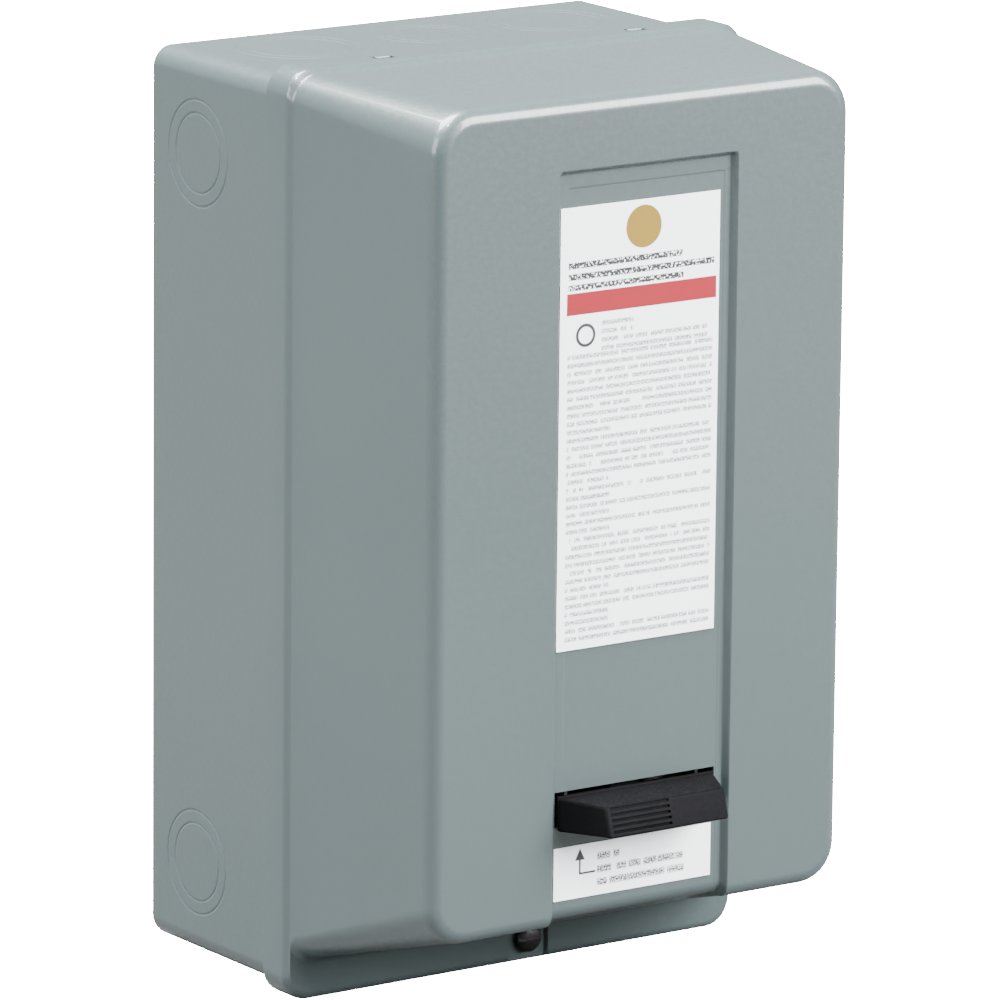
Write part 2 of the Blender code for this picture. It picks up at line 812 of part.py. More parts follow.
def make_contact_carrier(finish):
    """The moulded crossbar: it sits on the armature, and its windows hold the bridges and springs."""
    z = CONTACTOR_Z
    back = 41 * MM + CARRIER_TRAVEL + GAP + 7 * MM + GAP
    add = [
        box((-12 * MM, 12 * MM), (back, back + 6 * MM), (z - 12 * MM, z + 12 * MM)),
        box((-5 * MM, 5 * MM), (back + 5 * MM, 67.5 * MM), (z - 5 * MM, z + 5 * MM)),
        box((-30 * MM, 30 * MM), (66.5 * MM, 84 * MM), (z - 4.5 * MM, z + 4.5 * MM), 0.5 * MM),
        box((-4 * MM, 4 * MM), (83 * MM, 93 * MM), (z - 3.5 * MM, z + 3.5 * MM), 0.5 * MM),
    ]
    cut = []
    for x in POLE_XS:
        cut.append(
            box((x - 5.5 * MM, x + 5.5 * MM), (69.6 * MM, 81.4 * MM), (z - 8 * MM, z + 8 * MM))
        )
    part("contact_carrier", finish, add, cut)


def make_contacts(bridge_finish, spring_finish):
    """Each pole's bridge, with a silver button at each end, and the spring that presses it back."""
    z = CONTACTOR_Z
    for number, x in enumerate(POLE_XS, start=1):
        back = 69.9 * MM
        add = [
            box((x - 4 * MM, x + 4 * MM), (back, back + 1.5 * MM), (z - 18 * MM, z + 18 * MM))
        ]
        for side in (-1, 1):
            add.append(
                forward_rod(x, z + side * 13.5 * MM, back - 0.8 * MM, back + 0.5 * MM, 2.4 * MM, 12)
            )
        part(f"contact_bridge_{number}", bridge_finish, add)
        spring = coil_spring(x, z, 71.7 * MM, 81.1 * MM, 3.2 * MM, 0.35 * MM, 4, 8)
        part(f"contact_spring_{number}", spring_finish, [spring])


def make_contact_block(finish):
    """The moulding that carries the fixed contacts, with barriers between the poles."""
    z = CONTACTOR_Z
    add = [box((-35 * MM, 35 * MM), (50.3 * MM, 62 * MM), (z - 44 * MM, z + 44 * MM), 0.8 * MM)]
    for x in (-30.5 * MM, -10 * MM, 10 * MM, 30.5 * MM):
        for low, high in ((-44, -29), (29, 44)):
            add.append(
                box((x - 0.9 * MM, x + 0.9 * MM), (61 * MM, 76 * MM), (z + low * MM, z + high * MM))
            )
    cut = [
        box((-29 * MM, 29 * MM), (45 * MM, 53.2 * MM), (z - 32 * MM, z + 32 * MM)),
        box((-13 * MM, 13 * MM), (45 * MM, 70 * MM), (z - 13 * MM, z + 13 * MM)),
    ]
    for x in POLE_XS:
        for side in (-1, 1):
            cut.append(forward_rod(x, z + side * 34 * MM, 55 * MM, 70 * MM, 2.1 * MM, 10))
    part("contact_block", finish, add, cut)


def make_terminals(strap_finish, screw_finish):
    """The line straps, the load straps that run on to the relay, and their screws."""
    z = CONTACTOR_Z
    depth = (STRAP_DEPTH, STRAP_DEPTH + STRAP_THICKNESS)
    face = depth[1] + GAP
    for number, x in enumerate(POLE_XS, start=1):
        for name, side, end in (("line_terminal", 1, z + 42 * MM), ("load_terminal", -1, -19 * MM)):
            tip = z + side * 10.5 * MM
            low, high = sorted((tip, end))
            add = [
                box((x - 4.5 * MM, x + 4.5 * MM), depth, (low, high)),
                forward_rod(
                    x, z + side * 13.5 * MM, STRAP_DEPTH + 1 * MM, STRAP_DEPTH + 2.3 * MM, 2.4 * MM, 12
                ),
            ]
            hole = forward_rod(x, z + side * 34 * MM, 50 * MM, 70 * MM, 2.1 * MM, 10)
            part(f"{name}_{number}", strap_finish, add, [hole])
    number = 1
    for side in (1, -1):
        for x in POLE_XS:
            make_terminal_screw(
                f"terminal_screw_{number}", screw_finish, x, z + side * 34 * MM, face, 56 * MM
            )
            number += 1


def make_terminal_screw(name, finish, x, z, face, tip):
    add = [
        forward_rod(x, z, face, face + 2.6 * MM, 4.1 * MM, 14),
        forward_rod(x, z, tip, face + 1 * MM, 1.8 * MM, 10),
    ]
    slot = box((x - 5 * MM, x + 5 * MM), (face + 1.4 * MM, face + 4 * MM), (z - 0.5 * MM, z + 0.5 * MM))
    part(name, finish, add, [slot])


def make_arc_cover(finish):
    """The front moulding over the contacts, open behind, with a window for the carrier's nose."""
    z = CONTACTOR_Z
    shell = box((-35 * MM, 35 * MM), (64.4 * MM, 92 * MM), (z - 27.5 * MM, z + 27.5 * MM), 1.2 * MM)
    cut = [
        box((-33 * MM, 33 * MM), (60 * MM, 89.8 * MM), (z - 25.5 * MM, z + 25.5 * MM)),
        box((-5 * MM, 5 * MM), (85 * MM, 95 * MM), (z - 4.5 * MM, z + 4.5 * MM)),
    ]
    part("arc_cover", finish, [shell], cut)


# ---------------------------------------------------------------- overload relay


def make_overload_relay(housing_finish, cover_finish, heater_finish, strap_finish, screw_finish):
    """The housing with three heater bays, the reset housing across it, the heaters and load terminals."""
    add = [box((-37 * MM, 37 * MM), (DEVICE_BACK, 60 * MM), (-66 * MM, -6 * MM), 1 * MM)]
    cut = []
    for x in POLE_XS:
        cut.append(box((x - 8 * MM, x + 8 * MM), (44 * MM, 65 * MM), (-31 * MM, -19 * MM)))
        cut.append(forward_rod(x, -58.5 * MM, 52 * MM, 65 * MM, 2.1 * MM, 10))
    cut.append(forward_rod(0, PLUNGER_Z, 48 * MM, 65 * MM, 4 * MM, 16))
    part("overload_housing", housing_finish, add, cut)

    add = [
        box((-34 * MM, 34 * MM), (60.3 * MM, 71 * MM), (-50 * MM, -34 * MM), 0.8 * MM),
        forward_rod(0, PLUNGER_Z, 68 * MM, NOSE_FRONT, 7 * MM),
    ]
    cut = [forward_rod(0, PLUNGER_Z, 55 * MM, 95 * MM, 3.4 * MM, 16)]
    part("overload_cover", cover_finish, add, cut)

    for number, x in enumerate(POLE_XS, start=1):
        heater = [
            box((x - 4.5 * MM, x + 4.5 * MM), (60.3 * MM, 61.7 * MM), (-32.5 * MM, -7 * MM)),
            forward_rod(x, -25 * MM, 48 * MM, 60.8 * MM, 4.4 * MM, 16),
            forward_rod(x, -25 * MM, 61 * MM, 65 * MM, 5.6 * MM, 16),
        ]
        part(f"heater_unit_{number}", heater_finish, heater)
        strap = box((x - 4.5 * MM, x + 4.5 * MM), (60.3 * MM, 61.8 * MM), (-65 * MM, -51 * MM))
        hole = forward_rod(x, -58.5 * MM, 50 * MM, 70 * MM, 2.1 * MM, 10)
        part(f"relay_terminal_{number}", strap_finish, [strap], [hole])
        make_terminal_screw(
            f"relay_terminal_screw_{number}", screw_finish, x, -58.5 * MM, 62.1 * MM, 54 * MM
        )


def make_reset_plunger(finish, spring_finish):
    add = [
        forward_rod(0, PLUNGER_Z, 62 * MM, PLUNGER_HEAD + 1 * MM, 3 * MM, 16),
        forward_rod(0, PLUNGER_Z, PLUNGER_HEAD, PLUNGER_HEAD + 2.2 * MM, 5.6 * MM),
        forward_rod(
            0, PLUNGER_Z, PLUNGER_HEAD + 2 * MM, PLUNGER_HEAD + 3.5 * MM, 5.6 * MM, ROUND_STEPS, 4.2 * MM
        ),
    ]
    part("reset_plunger", finish, add)
    spring = coil_spring(
        0, PLUNGER_Z, NOSE_FRONT + 0.2 * MM, PLUNGER_HEAD - 0.2 * MM, 4.2 * MM, 0.35 * MM, 5, 10
    )
    part("plunger_spring", spring_finish, [spring])


def make_control_wiring(terminal_finish, wire_finish):
    """The trip contact's two tabs on the relay, and the two wires from them to the coil and a line screw."""
    for name, side in (("left", -1), ("right", 1)):
        low, high = sorted((side * 22 * MM, side * 32 * MM))
        tab = box((low, high), (71.3 * MM, 72.3 * MM), (-46 * MM, -38 * MM), 0.3 * MM)
        part(f"control_terminal_{name}", terminal_finish, [tab])

    coil_z = CONTACTOR_Z + 16.2 * MM
    routes = {
        "control_wire_right": [
            place(28 * MM, 74.2 * MM, -41 * MM),
            place(35 * MM, 75 * MM, -40 * MM),
            place(43 * MM, 71 * MM, -28 * MM),
            place(45 * MM, 62 * MM, 0 * MM),
            place(46 * MM, 50 * MM, 30 * MM),
            place(45 * MM, 38 * MM, 52 * MM),
            place(43.5 * MM, 34.8 * MM, coil_z),
        ],
        "control_wire_left": [
            place(-28 * MM, 74.2 * MM, -41 * MM),
            place(-36 * MM, 75 * MM, -40 * MM),
            place(-44 * MM, 71 * MM, -26 * MM),
            place(-47 * MM, 64 * MM, 10 * MM),
            place(-47 * MM, 66 * MM, 60 * MM),
            place(-40 * MM, 78 * MM, 90 * MM),
            place(-27 * MM, 78 * MM, 101 * MM),
            place(-20 * MM, 67 * MM, 99 * MM),
            place(-20 * MM, 65.2 * MM, 91 * MM),
        ],
    }
    for name, points in routes.items():
        spline_tube(name, wire_finish, smooth_route(points, 5 * MM), 1.1 * MM)


def spline_tube(name, finish, points, radius):
    curve = bpy.data.curves.new(name, "CURVE")
    curve.dimensions = "3D"
    curve.bevel_depth = radius
    curve.bevel_resolution = 2
    curve.use_fill_caps = True
    spline = curve.splines.new("POLY")
    spline.points.add(len(points) - 1)
    for target, point in zip(spline.points, points):
        target.co = (*point, 1.0)
    curve.materials.append(finish)
    bpy.context.collection.objects.link(bpy.data.objects.new(name, curve))


clear_scene()
finishes = make_materials()
make_base_box(finishes["enamel"])
make_front_cover(finishes["enamel"])
make_cover_screw(finishes["blackened"], finishes["zinc"])
make_labels(finishes["label"])
make_reset_lever(finishes["black"])
make_lever_mount(finishes["blackened"], finishes["blackened"], finishes["spring"])
make_mounting_plate(finishes["zinc"])
make_ground(finishes["brass"], finishes["ground"])
make_contactor_frame(finishes["moulding"])
make_magnet(
    finishes["core"], finishes["bobbin"], finishes["winding"], finishes["brass"], finishes["spring"]
)
make_contact_carrier(finishes["bobbin"])
make_contacts(finishes["copper"], finishes["spring"])
make_contact_block(finishes["moulding"])
make_terminals(finishes["copper"], finishes["zinc"])
make_arc_cover(finishes["moulding"])
make_overload_relay(
    finishes["relay"], finishes["relay"], finishes["brass"], finishes["copper"], finishes["zinc"]
)
make_reset_plunger(finishes["plunger"], finishes["spring"])
make_control_wiring(finishes["brass"], finishes["wire"])
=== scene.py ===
import json
import math

import bmesh
import bpy
from mathutils import Matrix, Vector


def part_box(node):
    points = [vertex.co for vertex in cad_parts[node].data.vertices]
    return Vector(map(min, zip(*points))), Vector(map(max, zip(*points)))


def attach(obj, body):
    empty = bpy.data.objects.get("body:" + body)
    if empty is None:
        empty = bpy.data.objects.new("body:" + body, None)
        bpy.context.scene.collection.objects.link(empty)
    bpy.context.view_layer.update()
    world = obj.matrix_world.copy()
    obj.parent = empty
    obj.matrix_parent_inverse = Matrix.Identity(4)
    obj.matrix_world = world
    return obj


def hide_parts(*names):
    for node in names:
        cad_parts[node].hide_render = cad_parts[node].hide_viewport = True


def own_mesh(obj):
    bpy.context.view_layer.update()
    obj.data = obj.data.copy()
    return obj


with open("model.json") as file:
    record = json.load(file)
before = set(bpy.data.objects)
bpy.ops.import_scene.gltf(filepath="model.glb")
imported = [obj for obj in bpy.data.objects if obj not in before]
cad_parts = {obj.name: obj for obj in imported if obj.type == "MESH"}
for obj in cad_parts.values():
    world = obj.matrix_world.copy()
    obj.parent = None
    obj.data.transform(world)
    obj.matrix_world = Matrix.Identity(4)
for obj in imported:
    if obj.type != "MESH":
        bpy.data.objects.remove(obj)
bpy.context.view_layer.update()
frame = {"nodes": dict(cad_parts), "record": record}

MM = 0.001


# Back box: one pan drawn from 1.3 mm sheet steel and enamelled grey, with its back bend rounded.
# Its four sides have conduit knockouts, which show as fine pressed rings. The back has a keyhole
# and two slots for the wall screws.
BOX_BEND = 3.0 * MM
BOX_CORNER = 6.0 * MM
BOX_FRONT = 69.5 * MM
SHEET = 1.3 * MM
KNOCKOUT_DEPTH = 26.3 * MM
KNOCKOUT_GROOVE = 1.0 * MM
KNOCKOUT_PRESS = 0.17 * MM
END_KNOCKOUT_Z = 127.0 * MM
SIDE_KNOCKOUT_DEPTH = 25.0 * MM
SIDE_KNOCKOUT_Z = 100.4 * MM
LARGE_RINGS = (17.45 * MM, 14.1 * MM)
SMALL_RINGS = (14.1 * MM, 11.1 * MM)
SIDE_RINGS = (14.8 * MM, 11.1 * MM)
KEYHOLE_Z = 112.0 * MM
KEYHOLE_TOP = 120.0 * MM
KEYHOLE_RADIUS = 5.0 * MM
KEYHOLE_NECK = 2.5 * MM
WALL_SLOT_X = 45.0 * MM
WALL_SLOT_HALF_WIDTH = 2.6 * MM
WALL_SLOT_BOTTOM = -114.0 * MM
WALL_SLOT_TOP = -105.0 * MM
CUTTER_REACH = 5.0 * MM
ENAMEL_GREY = (0.0475, 0.0655, 0.0675, 1.0)
ENAMEL_SHADE = (0.0445, 0.0615, 0.0635, 1.0)


def bevelled(shape, geom, affect, width, segments):
    """Rounds edges or corners of a bmesh."""
    bmesh.ops.bevel(
        shape,
        geom=geom,
        affect=affect,
        offset=width,
        segments=segments,
        profile=0.5,
        material=-1,
    )


def ring(shape, depth, half_width, bottom, top, high, low):
    """Adds a rectangle facing the front. Its top corners have radius high, its bottom ones low."""
    present = set(shape.edges)
    outline = ((half_width, top), (-half_width, top), (-half_width, bottom), (half_width, bottom))
    verts = [shape.verts.new((x, -depth, z)) for x, z in outline]
    shape.faces.new(verts)
    for pair, radius in ((verts[:2], high), (verts[2:], low)):
        bevelled(shape, pair, "VERTICES", radius, 7)
    return [edge for edge in shape.edges if edge not in present]


def drawn_skin(sections, close_last):
    """Joins rings into one skin. One end stays open, and the other gets a flat face."""
    shape = bmesh.new()
    rings = [ring(shape, *section) for section in sections]
    closing = sections[-1 if close_last else 0][0]
    inner = [face for face in shape.faces if abs(face.calc_center_median().y + closing) > 0.01 * MM]
    bmesh.ops.delete(shape, geom=inner, context="FACES_ONLY")
    for near, far in zip(rings, rings[1:]):
        bmesh.ops.bridge_loops(shape, edges=near + far)
    bmesh.ops.recalc_face_normals(shape, faces=shape.faces)
    return shape


def piece(name, shape, body, smooth_angle=32):
    """Makes a finished bmesh an object that rides on a body."""
    mesh = bpy.data.meshes.new(name)
    shape.to_mesh(mesh)
    shape.free()
    made = bpy.data.objects.new(name, mesh)
    bpy.context.scene.collection.objects.link(made)
    mesh.shade_smooth()
    mesh.set_sharp_from_angle(angle=math.radians(smooth_angle))
    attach(made, body)
    return made


def modified(made, kind, **settings):
    """Adds a modifier with the same levels in the viewport and the render."""
    modifier = made.modifiers.new(kind.title(), kind)
    for setting, value in settings.items():
        setattr(modifier, setting, value)
    return modifier


def applied(made):
    """Bakes a piece's modifiers into its mesh."""
    bpy.context.view_layer.update()
    graph = bpy.context.evaluated_depsgraph_get()
    mesh = bpy.data.meshes.new_from_object(made.evaluated_get(graph))
    made.modifiers.clear()
    made.data = mesh


def rounded(made, width, sharpest):
    """Rounds every edge of a piece that turns by more than an angle in degrees."""
    modified(
        made,
        "BEVEL",
        width=width,
        segments=2,
        limit_method="ANGLE",
        angle_limit=math.radians(sharpest),
    )
    modified(made, "WEIGHTED_NORMAL", keep_sharp=True)
    applied(made)


def cut_from(made, cutter_shape):
    """Cuts one bmesh out of a piece and bakes the result."""
    mesh = bpy.data.meshes.new("cutter")
    cutter_shape.to_mesh(mesh)
    cutter_shape.free()
    cutter = bpy.data.objects.new("cutter", mesh)
    bpy.context.scene.collection.objects.link(cutter)
    modified(made, "BOOLEAN", object=cutter, operation="DIFFERENCE", solver="EXACT")
    applied(made)
    bpy.data.objects.remove(cutter)


def block(shape, x, depth, z, bevel=0.0, segments=2):
    """Adds a box between two x, two depths and two heights, with its edges rounded."""
    size = (x[1] - x[0], depth[1] - depth[0], z[1] - z[0])
    centre = (0.5 * (x[0] + x[1]), -0.5 * (depth[0] + depth[1]), 0.5 * (z[0] + z[1]))
    placed = Matrix.Translation(centre) @ Matrix.Diagonal((*size, 1.0))
    made = bmesh.ops.create_cube(shape, size=1.0, matrix=placed)
    if bevel:
        edges = list({edge for vert in made["verts"] for edge in vert.link_edges})
        bevelled(shape, edges, "EDGES", bevel, segments)
    return made["verts"]


def turned(shape, profile, centre, along, steps=32):
    """Spins a profile of (distance along, radius) pairs once round an axis through centre."""
    axis = Vector(along).normalized()
    side = axis.orthogonal().normalized()
    origin = Vector(centre)
    verts = [shape.verts.new(origin + axis * far + side * radius) for far, radius in profile]
    edges = [shape.edges.new(pair) for pair in zip(verts, verts[1:])]
    bmesh.ops.spin(
        shape,
        geom=verts + edges,
        cent=origin,
        axis=axis,
        angle=2 * math.pi,
        steps=steps,
        use_merge=True,
    )
    bmesh.ops.remove_doubles(shape, verts=shape.verts, dist=0.001 * MM)
    bmesh.ops.recalc_face_normals(shape, faces=shape.faces)


def knockout_groove(shape, centre, outward, radius):
    """Adds the ring-shaped tool of one half-sheared knockout, pressed into a wall from outside."""
    half = 0.5 * KNOCKOUT_GROOVE
    proud = 0.5 * MM
    section = (
        (-KNOCKOUT_PRESS, radius),
        (0.0, radius - half),
        (proud, radius - half),
        (proud, radius + half),
        (0.0, radius + half),
        (-KNOCKOUT_PRESS, radius),
    )
    turned(shape, section, centre, outward, steps=56)


class Shade:
    """A value in a material's nodes. Arithmetic adds Math nodes, and node() adds any other."""

    def __init__(self, material, socket=None):
        self.material = material
        self.socket = socket

    def node(self, kind, inputs, output=0, **settings):
        tree = self.material.node_tree
        made = tree.nodes.new("ShaderNode" + kind)
        for setting, value in settings.items():
            setattr(made, setting, value)
        for name, value in inputs.items():
            if isinstance(value, Shade):
                tree.links.new(value.socket, made.inputs[name])
            else:
                made.inputs[name].default_value = value
        return Shade(self.material, made.outputs[output] if made.outputs else None)

    def math(self, operation, first, second=0.0):
        return self.node("Math", {0: first, 1: second}, operation=operation)

    def __add__(self, other):
        return self.math("ADD", self, other)

    def __radd__(self, other):
        return self.math("ADD", other, self)

    def __sub__(self, other):
        return self.math("SUBTRACT", self, other)

    def __rsub__(self, other):
        return self.math("SUBTRACT", other, self)

    def __mul__(self, other):
        return self.math("MULTIPLY", self, other)

    def __rmul__(self, other):
        return self.math("MULTIPLY", other, self)

    def step(self, low, high, start=0.0, end=1.0):
        """Goes smoothly from start to end as the value goes from low to high."""
        return self.node(
            "MapRange",
            {"Value": self, 1: low, 2: high, 3: start, 4: end},
            interpolation_type="SMOOTHSTEP",
        )

    def within(self, low, high, soft):
        """1 between low and high, and 0 outside."""
        return self.step(low - soft, low + soft) * self.step(high - soft, high + soft, 1.0, 0.0)

    def noise(self, scale, detail=3.0, stretch=(1.0, 1.0, 1.0)):
        """Smooth noise on a point, drawn out where stretch is small."""
        at = self.node("Mapping", {"Vector": self, "Scale": stretch})
        values = {"Vector": at, "Scale": scale, "Detail": detail}
        return at.node("TexNoise", values)

    def blend(self, low, high):
        """A colour between two colours, by this value."""
        return self.node("Mix", {0: self, 6: low, 7: high}, 2, data_type="RGBA")


def start(name):
    """Opens a material, and gives its Object coordinates."""
    material = bpy.data.materials.new(name)
    material.use_nodes = True
    material.node_tree.nodes.clear()
    return Shade(material).node("TexCoord", {}, "Object")


def surface(base, roughness, relief, height, **fixed):
    """Closes a material: relief goes from 0 to 1, and height is what that stands for in metres."""
    bump = relief.node("Bump", {"Height": relief, "Distance": height, "Strength": 1.0})
    sockets = {"Base Color": base, "Roughness": roughness, "Normal": bump, **fixed}
    shader = bump.node("BsdfPrincipled", sockets)
    shader.node("OutputMaterial", {"Surface": shader})
    return shader.material


def wear(made, material):
    """Gives an object one material."""
    made.data.materials.clear()
    made.data.materials.append(material)


at = start("grey_enamel")
peel = at.noise(620.0, 2.0)
cloud = at.noise(9.0, 3.0)
speck = at.noise(2600.0, 1.0)
enamel = surface(
    (cloud * 0.7 + speck * 0.3).step(0.35, 0.65).blend(ENAMEL_SHADE, ENAMEL_GREY),
    peel.step(0.3, 0.7, 0.33, 0.40),
    peel * 0.8 + cloud * 0.2,
    0.035 * MM,
    **{"Coat Weight": 0.45, "Coat Roughness": 0.08},
)

box_low, box_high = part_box("base_box")
sections = []
for turn in (0.0, 22.5, 45.0, 67.5, 90.0):
    inset = BOX_BEND * (1 - math.sin(math.radians(turn)))
    depth = BOX_BEND * (1 - math.cos(math.radians(turn)))
    corner = BOX_CORNER - 0.6 * inset
    sections.append(
        (depth, box_high.x - inset, box_low.z + inset, -box_low.z - inset, corner, corner)
    )
sections.append((BOX_FRONT, box_high.x, box_low.z, -box_low.z, BOX_CORNER, BOX_CORNER))
back_box = piece("back_box", drawn_skin(sections, close_last=False), "enclosure")
modified(back_box, "SOLIDIFY", thickness=SHEET, offset=-1.0, use_even_offset=True)
applied(back_box)

tool = bmesh.new()
for side in (-1, 1):
    for x, radii in ((-42.0 * MM, LARGE_RINGS), (0.0, SMALL_RINGS), (42.0 * MM, LARGE_RINGS)):
        for radius in radii:
            centre = (x, -KNOCKOUT_DEPTH, side * END_KNOCKOUT_Z)
            knockout_groove(tool, centre, (0, 0, side), radius)
    for z in (-SIDE_KNOCKOUT_Z, SIDE_KNOCKOUT_Z):
        for radius in SIDE_RINGS:
            centre = (side * box_high.x, -SIDE_KNOCKOUT_DEPTH, z)
            knockout_groove(tool, centre, (side, 0, 0), radius)
cut_from(back_box, tool)

through = (-CUTTER_REACH, CUTTER_REACH)
tool = bmesh.new()
keyhole = (
    (-CUTTER_REACH, 0),
    (-CUTTER_REACH, KEYHOLE_RADIUS),
    (CUTTER_REACH, KEYHOLE_RADIUS),
    (CUTTER_REACH, 0),
)
turned(tool, keyhole, (0, 0, KEYHOLE_Z), (0, 1, 0))
cut_from(back_box, tool)
tool = bmesh.new()
block(tool, (-KEYHOLE_NECK, KEYHOLE_NECK), through, (KEYHOLE_Z, KEYHOLE_TOP))
for x in (-WALL_SLOT_X, WALL_SLOT_X):
    width = (x - WALL_SLOT_HALF_WIDTH, x + WALL_SLOT_HALF_WIDTH)
    block(tool, width, through, (WALL_SLOT_BOTTOM, WALL_SLOT_TOP))
cut_from(back_box, tool)
rounded(back_box, 0.25 * MM, 60)
wear(back_box, enamel)
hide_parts("base_box")


# Box tabs: two hooks spot-welded inside the top edge, which the cover's slots hang on, and the
# tab at the bottom that takes the cover screw. All are bent steel, enamelled with the box.
HOOK_XS = (-42.0 * MM, 42.0 * MM)
HOOK_DEPTH = 66.6 * MM
HOOK_HALF_WIDTH = 2.5 * MM
HOOK_FOOT_HALF_WIDTH = 5.0 * MM
HOOK_FOOT_LENGTH = 12.0 * MM
SCREW_TAB_HALF_WIDTH = 7.0 * MM
SCREW_X = 5.2 * MM
SCREW_Z = -122.8 * MM

tabs = bmesh.new()
for x in HOOK_XS:
    block(
        tabs,
        (x - HOOK_HALF_WIDTH, x + HOOK_HALF_WIDTH),
        (HOOK_DEPTH + 0.05 * MM, HOOK_DEPTH + 0.95 * MM),
        (125.3 * MM, box_high.z),
        bevel=0.35 * MM,
        segments=3,
    )
    block(
        tabs,
        (x - HOOK_FOOT_HALF_WIDTH, x + HOOK_FOOT_HALF_WIDTH),
        (HOOK_DEPTH - HOOK_FOOT_LENGTH, HOOK_DEPTH + 1.2 * MM),
        (124.3 * MM, 125.5 * MM),
        bevel=0.4 * MM,
    )
block(
    tabs,
    (SCREW_X - SCREW_TAB_HALF_WIDTH, SCREW_X + SCREW_TAB_HALF_WIDTH),
    (BOX_FRONT - SHEET, BOX_FRONT),
    (-125.8 * MM, -114 * MM),
    bevel=0.3 * MM,
)
box_tabs = piece("box_tabs", tabs, "enclosure")
wear(box_tabs, enamel)


# Mounting plate: a zinc plated steel plate that four pan-head screws hold off the box's back. The
# ground lug is screwed to the box below it.
PLATE_FRONT = 10.0 * MM
SCREW_GAP = 0.05 * MM


def pan_screws(name, places, seat, radius, height):
    """Slotted pan-head screws that face the front, at pairs of x and z in millimetres."""
    profile = (
        (0, 0),
        (0, radius),
        (0.45 * height, radius),
        (0.85 * height, 0.78 * radius),
        (height, 0),
    )
    slot_depth = (seat + 0.45 * height, seat + 2 * height)
    for number, (across, up) in enumerate(places, 1):
        x, z = across * MM, up * MM
        head = bmesh.new()
        turned(head, profile, (x, -seat, z), (0, -1, 0), steps=24)
        made = piece(f"{name}_{number}", head, "enclosure", 50)
        slit = (z - 0.14 * radius, z + 0.14 * radius)
        tool = bmesh.new()
        block(tool, (x - 2 * radius, x + 2 * radius), slot_depth, slit)
        cut_from(made, tool)
        wear(made, zinc)


def softened(node, width, material):
    """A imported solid's own shape with its edges rounded, which stands for it."""
    shape = bmesh.new()
    shape.from_mesh(frame["nodes"][node].data)
    bmesh.ops.remove_doubles(shape, verts=shape.verts, dist=0.002 * MM)
    flat = math.radians(1)
    bmesh.ops.dissolve_limit(shape, angle_limit=flat, verts=shape.verts, edges=shape.edges)
    bodies = frame["record"]["behaviour"]["bodies"]
    body = next(name for name, members in bodies.items() if node in members)
    made = piece(node + "_rounded", shape, body)
    rounded(made, width, 35)
    wear(made, material)
    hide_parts(node)


def metal(name, dark, bright, rough_low, rough_high, scratch_height):
    """A plated or bare metal with fine rolling scratches and a mottled plating."""
    at = start(name)
    mottle = at.node("TexVoronoi", {"Vector": at, "Scale": 320.0}, "Color")
    tone = mottle.node("SeparateColor", {0: mottle})
    scratch = at.noise(260.0, 3.0, (0.15, 1.0, 1.0))
    return surface(
        (tone * 0.3 + scratch * 0.7).step(0.2, 0.8).blend(dark, bright),
        (tone * 0.3 + scratch * 0.7).step(0.2, 0.8, rough_low, rough_high),
        scratch,
        scratch_height,
        **{"Metallic": 1.0},
    )


zinc = metal(
    "zinc_plate", (0.50, 0.51, 0.50, 1.0), (0.60, 0.60, 0.57, 1.0), 0.34, 0.46, 0.004 * MM
)
brass = metal(
    "brass", (0.62, 0.43, 0.18, 1.0), (0.78, 0.58, 0.28, 1.0), 0.22, 0.40, 0.006 * MM
)

softened("mounting_plate", 0.25 * MM, zinc)
softened("ground_lug", 0.2 * MM, brass)
plate_places = ((-38, -72), (38, -72), (-38, 98), (38, 98))
pan_screws("plate_screw", plate_places, PLATE_FRONT + SCREW_GAP, radius=3.4 * MM, height=2.2 * MM)

at = start("green_plating")
tone = at.noise(400.0, 2.0)
green_plating = surface(
    tone.blend((0.02, 0.20, 0.07, 1.0), (0.04, 0.34, 0.12, 1.0)),
    tone.step(0.3, 0.7, 0.28, 0.42),
    tone,
    0.006 * MM,
    **{"Metallic": 0.8},
)
wear(frame["nodes"]["ground_screw"], green_plating)


# Contactor: phenolic mouldings hold three pairs of contacts. Two laminated cores, a nylon bobbin
# with a taped coil and a return spring work them. Plated screws clamp the line and load straps.
def moulding(name, dark, bright, rough_low, rough_high):
    """A phenolic moulding, with faint flow marks and a fine dull grain."""
    at = start(name)
    grain = at.noise(1400.0, 2.0)
    flow = at.noise(70.0, 4.0, (0.3, 1.0, 1.0))
    return surface(
        flow.step(0.35, 0.65).blend(dark, bright),
        (grain * 0.6 + flow * 0.4).step(0.3, 0.7, rough_low, rough_high),
        grain,
        0.02 * MM,
    )


contactor_moulding = moulding(
    "contactor_moulding", (0.020, 0.018, 0.017, 1.0), (0.032, 0.029, 0.027, 1.0), 0.38, 0.55
)
softened("contactor_frame", 0.6 * MM, contactor_moulding)
softened("contact_block", 0.3 * MM, contactor_moulding)
softened("contact_carrier", 0.35 * MM, contactor_moulding)
softened("arc_cover", 0.7 * MM, contactor_moulding)
arc_front = -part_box("arc_cover")[0].y
arc_places = ((-31, 26.5), (31, 26.5), (-31, 73.5), (31, 73.5))
pan_screws("arc_cover_screw", arc_places, arc_front + SCREW_GAP, radius=2.4 * MM, height=1.5 * MM)

at = start("laminations")
parts = at.node("SeparateXYZ", {0: at})
sheets = parts.math("FRACT", parts * 1600.0)
seam = sheets.within(0.08, 0.92, 0.08)
stain = at.noise(180.0, 3.0)
laminations = surface(
    (seam * 0.7 + stain * 0.3).blend((0.10, 0.095, 0.09, 1.0), (0.40, 0.39, 0.38, 1.0)),
    stain.step(0.3, 0.7, 0.30, 0.50),
    seam,
    0.06 * MM,
    **{"Metallic": 0.9},
)
softened("fixed_core", 0.2 * MM, laminations)
softened("armature", 0.2 * MM, laminations)

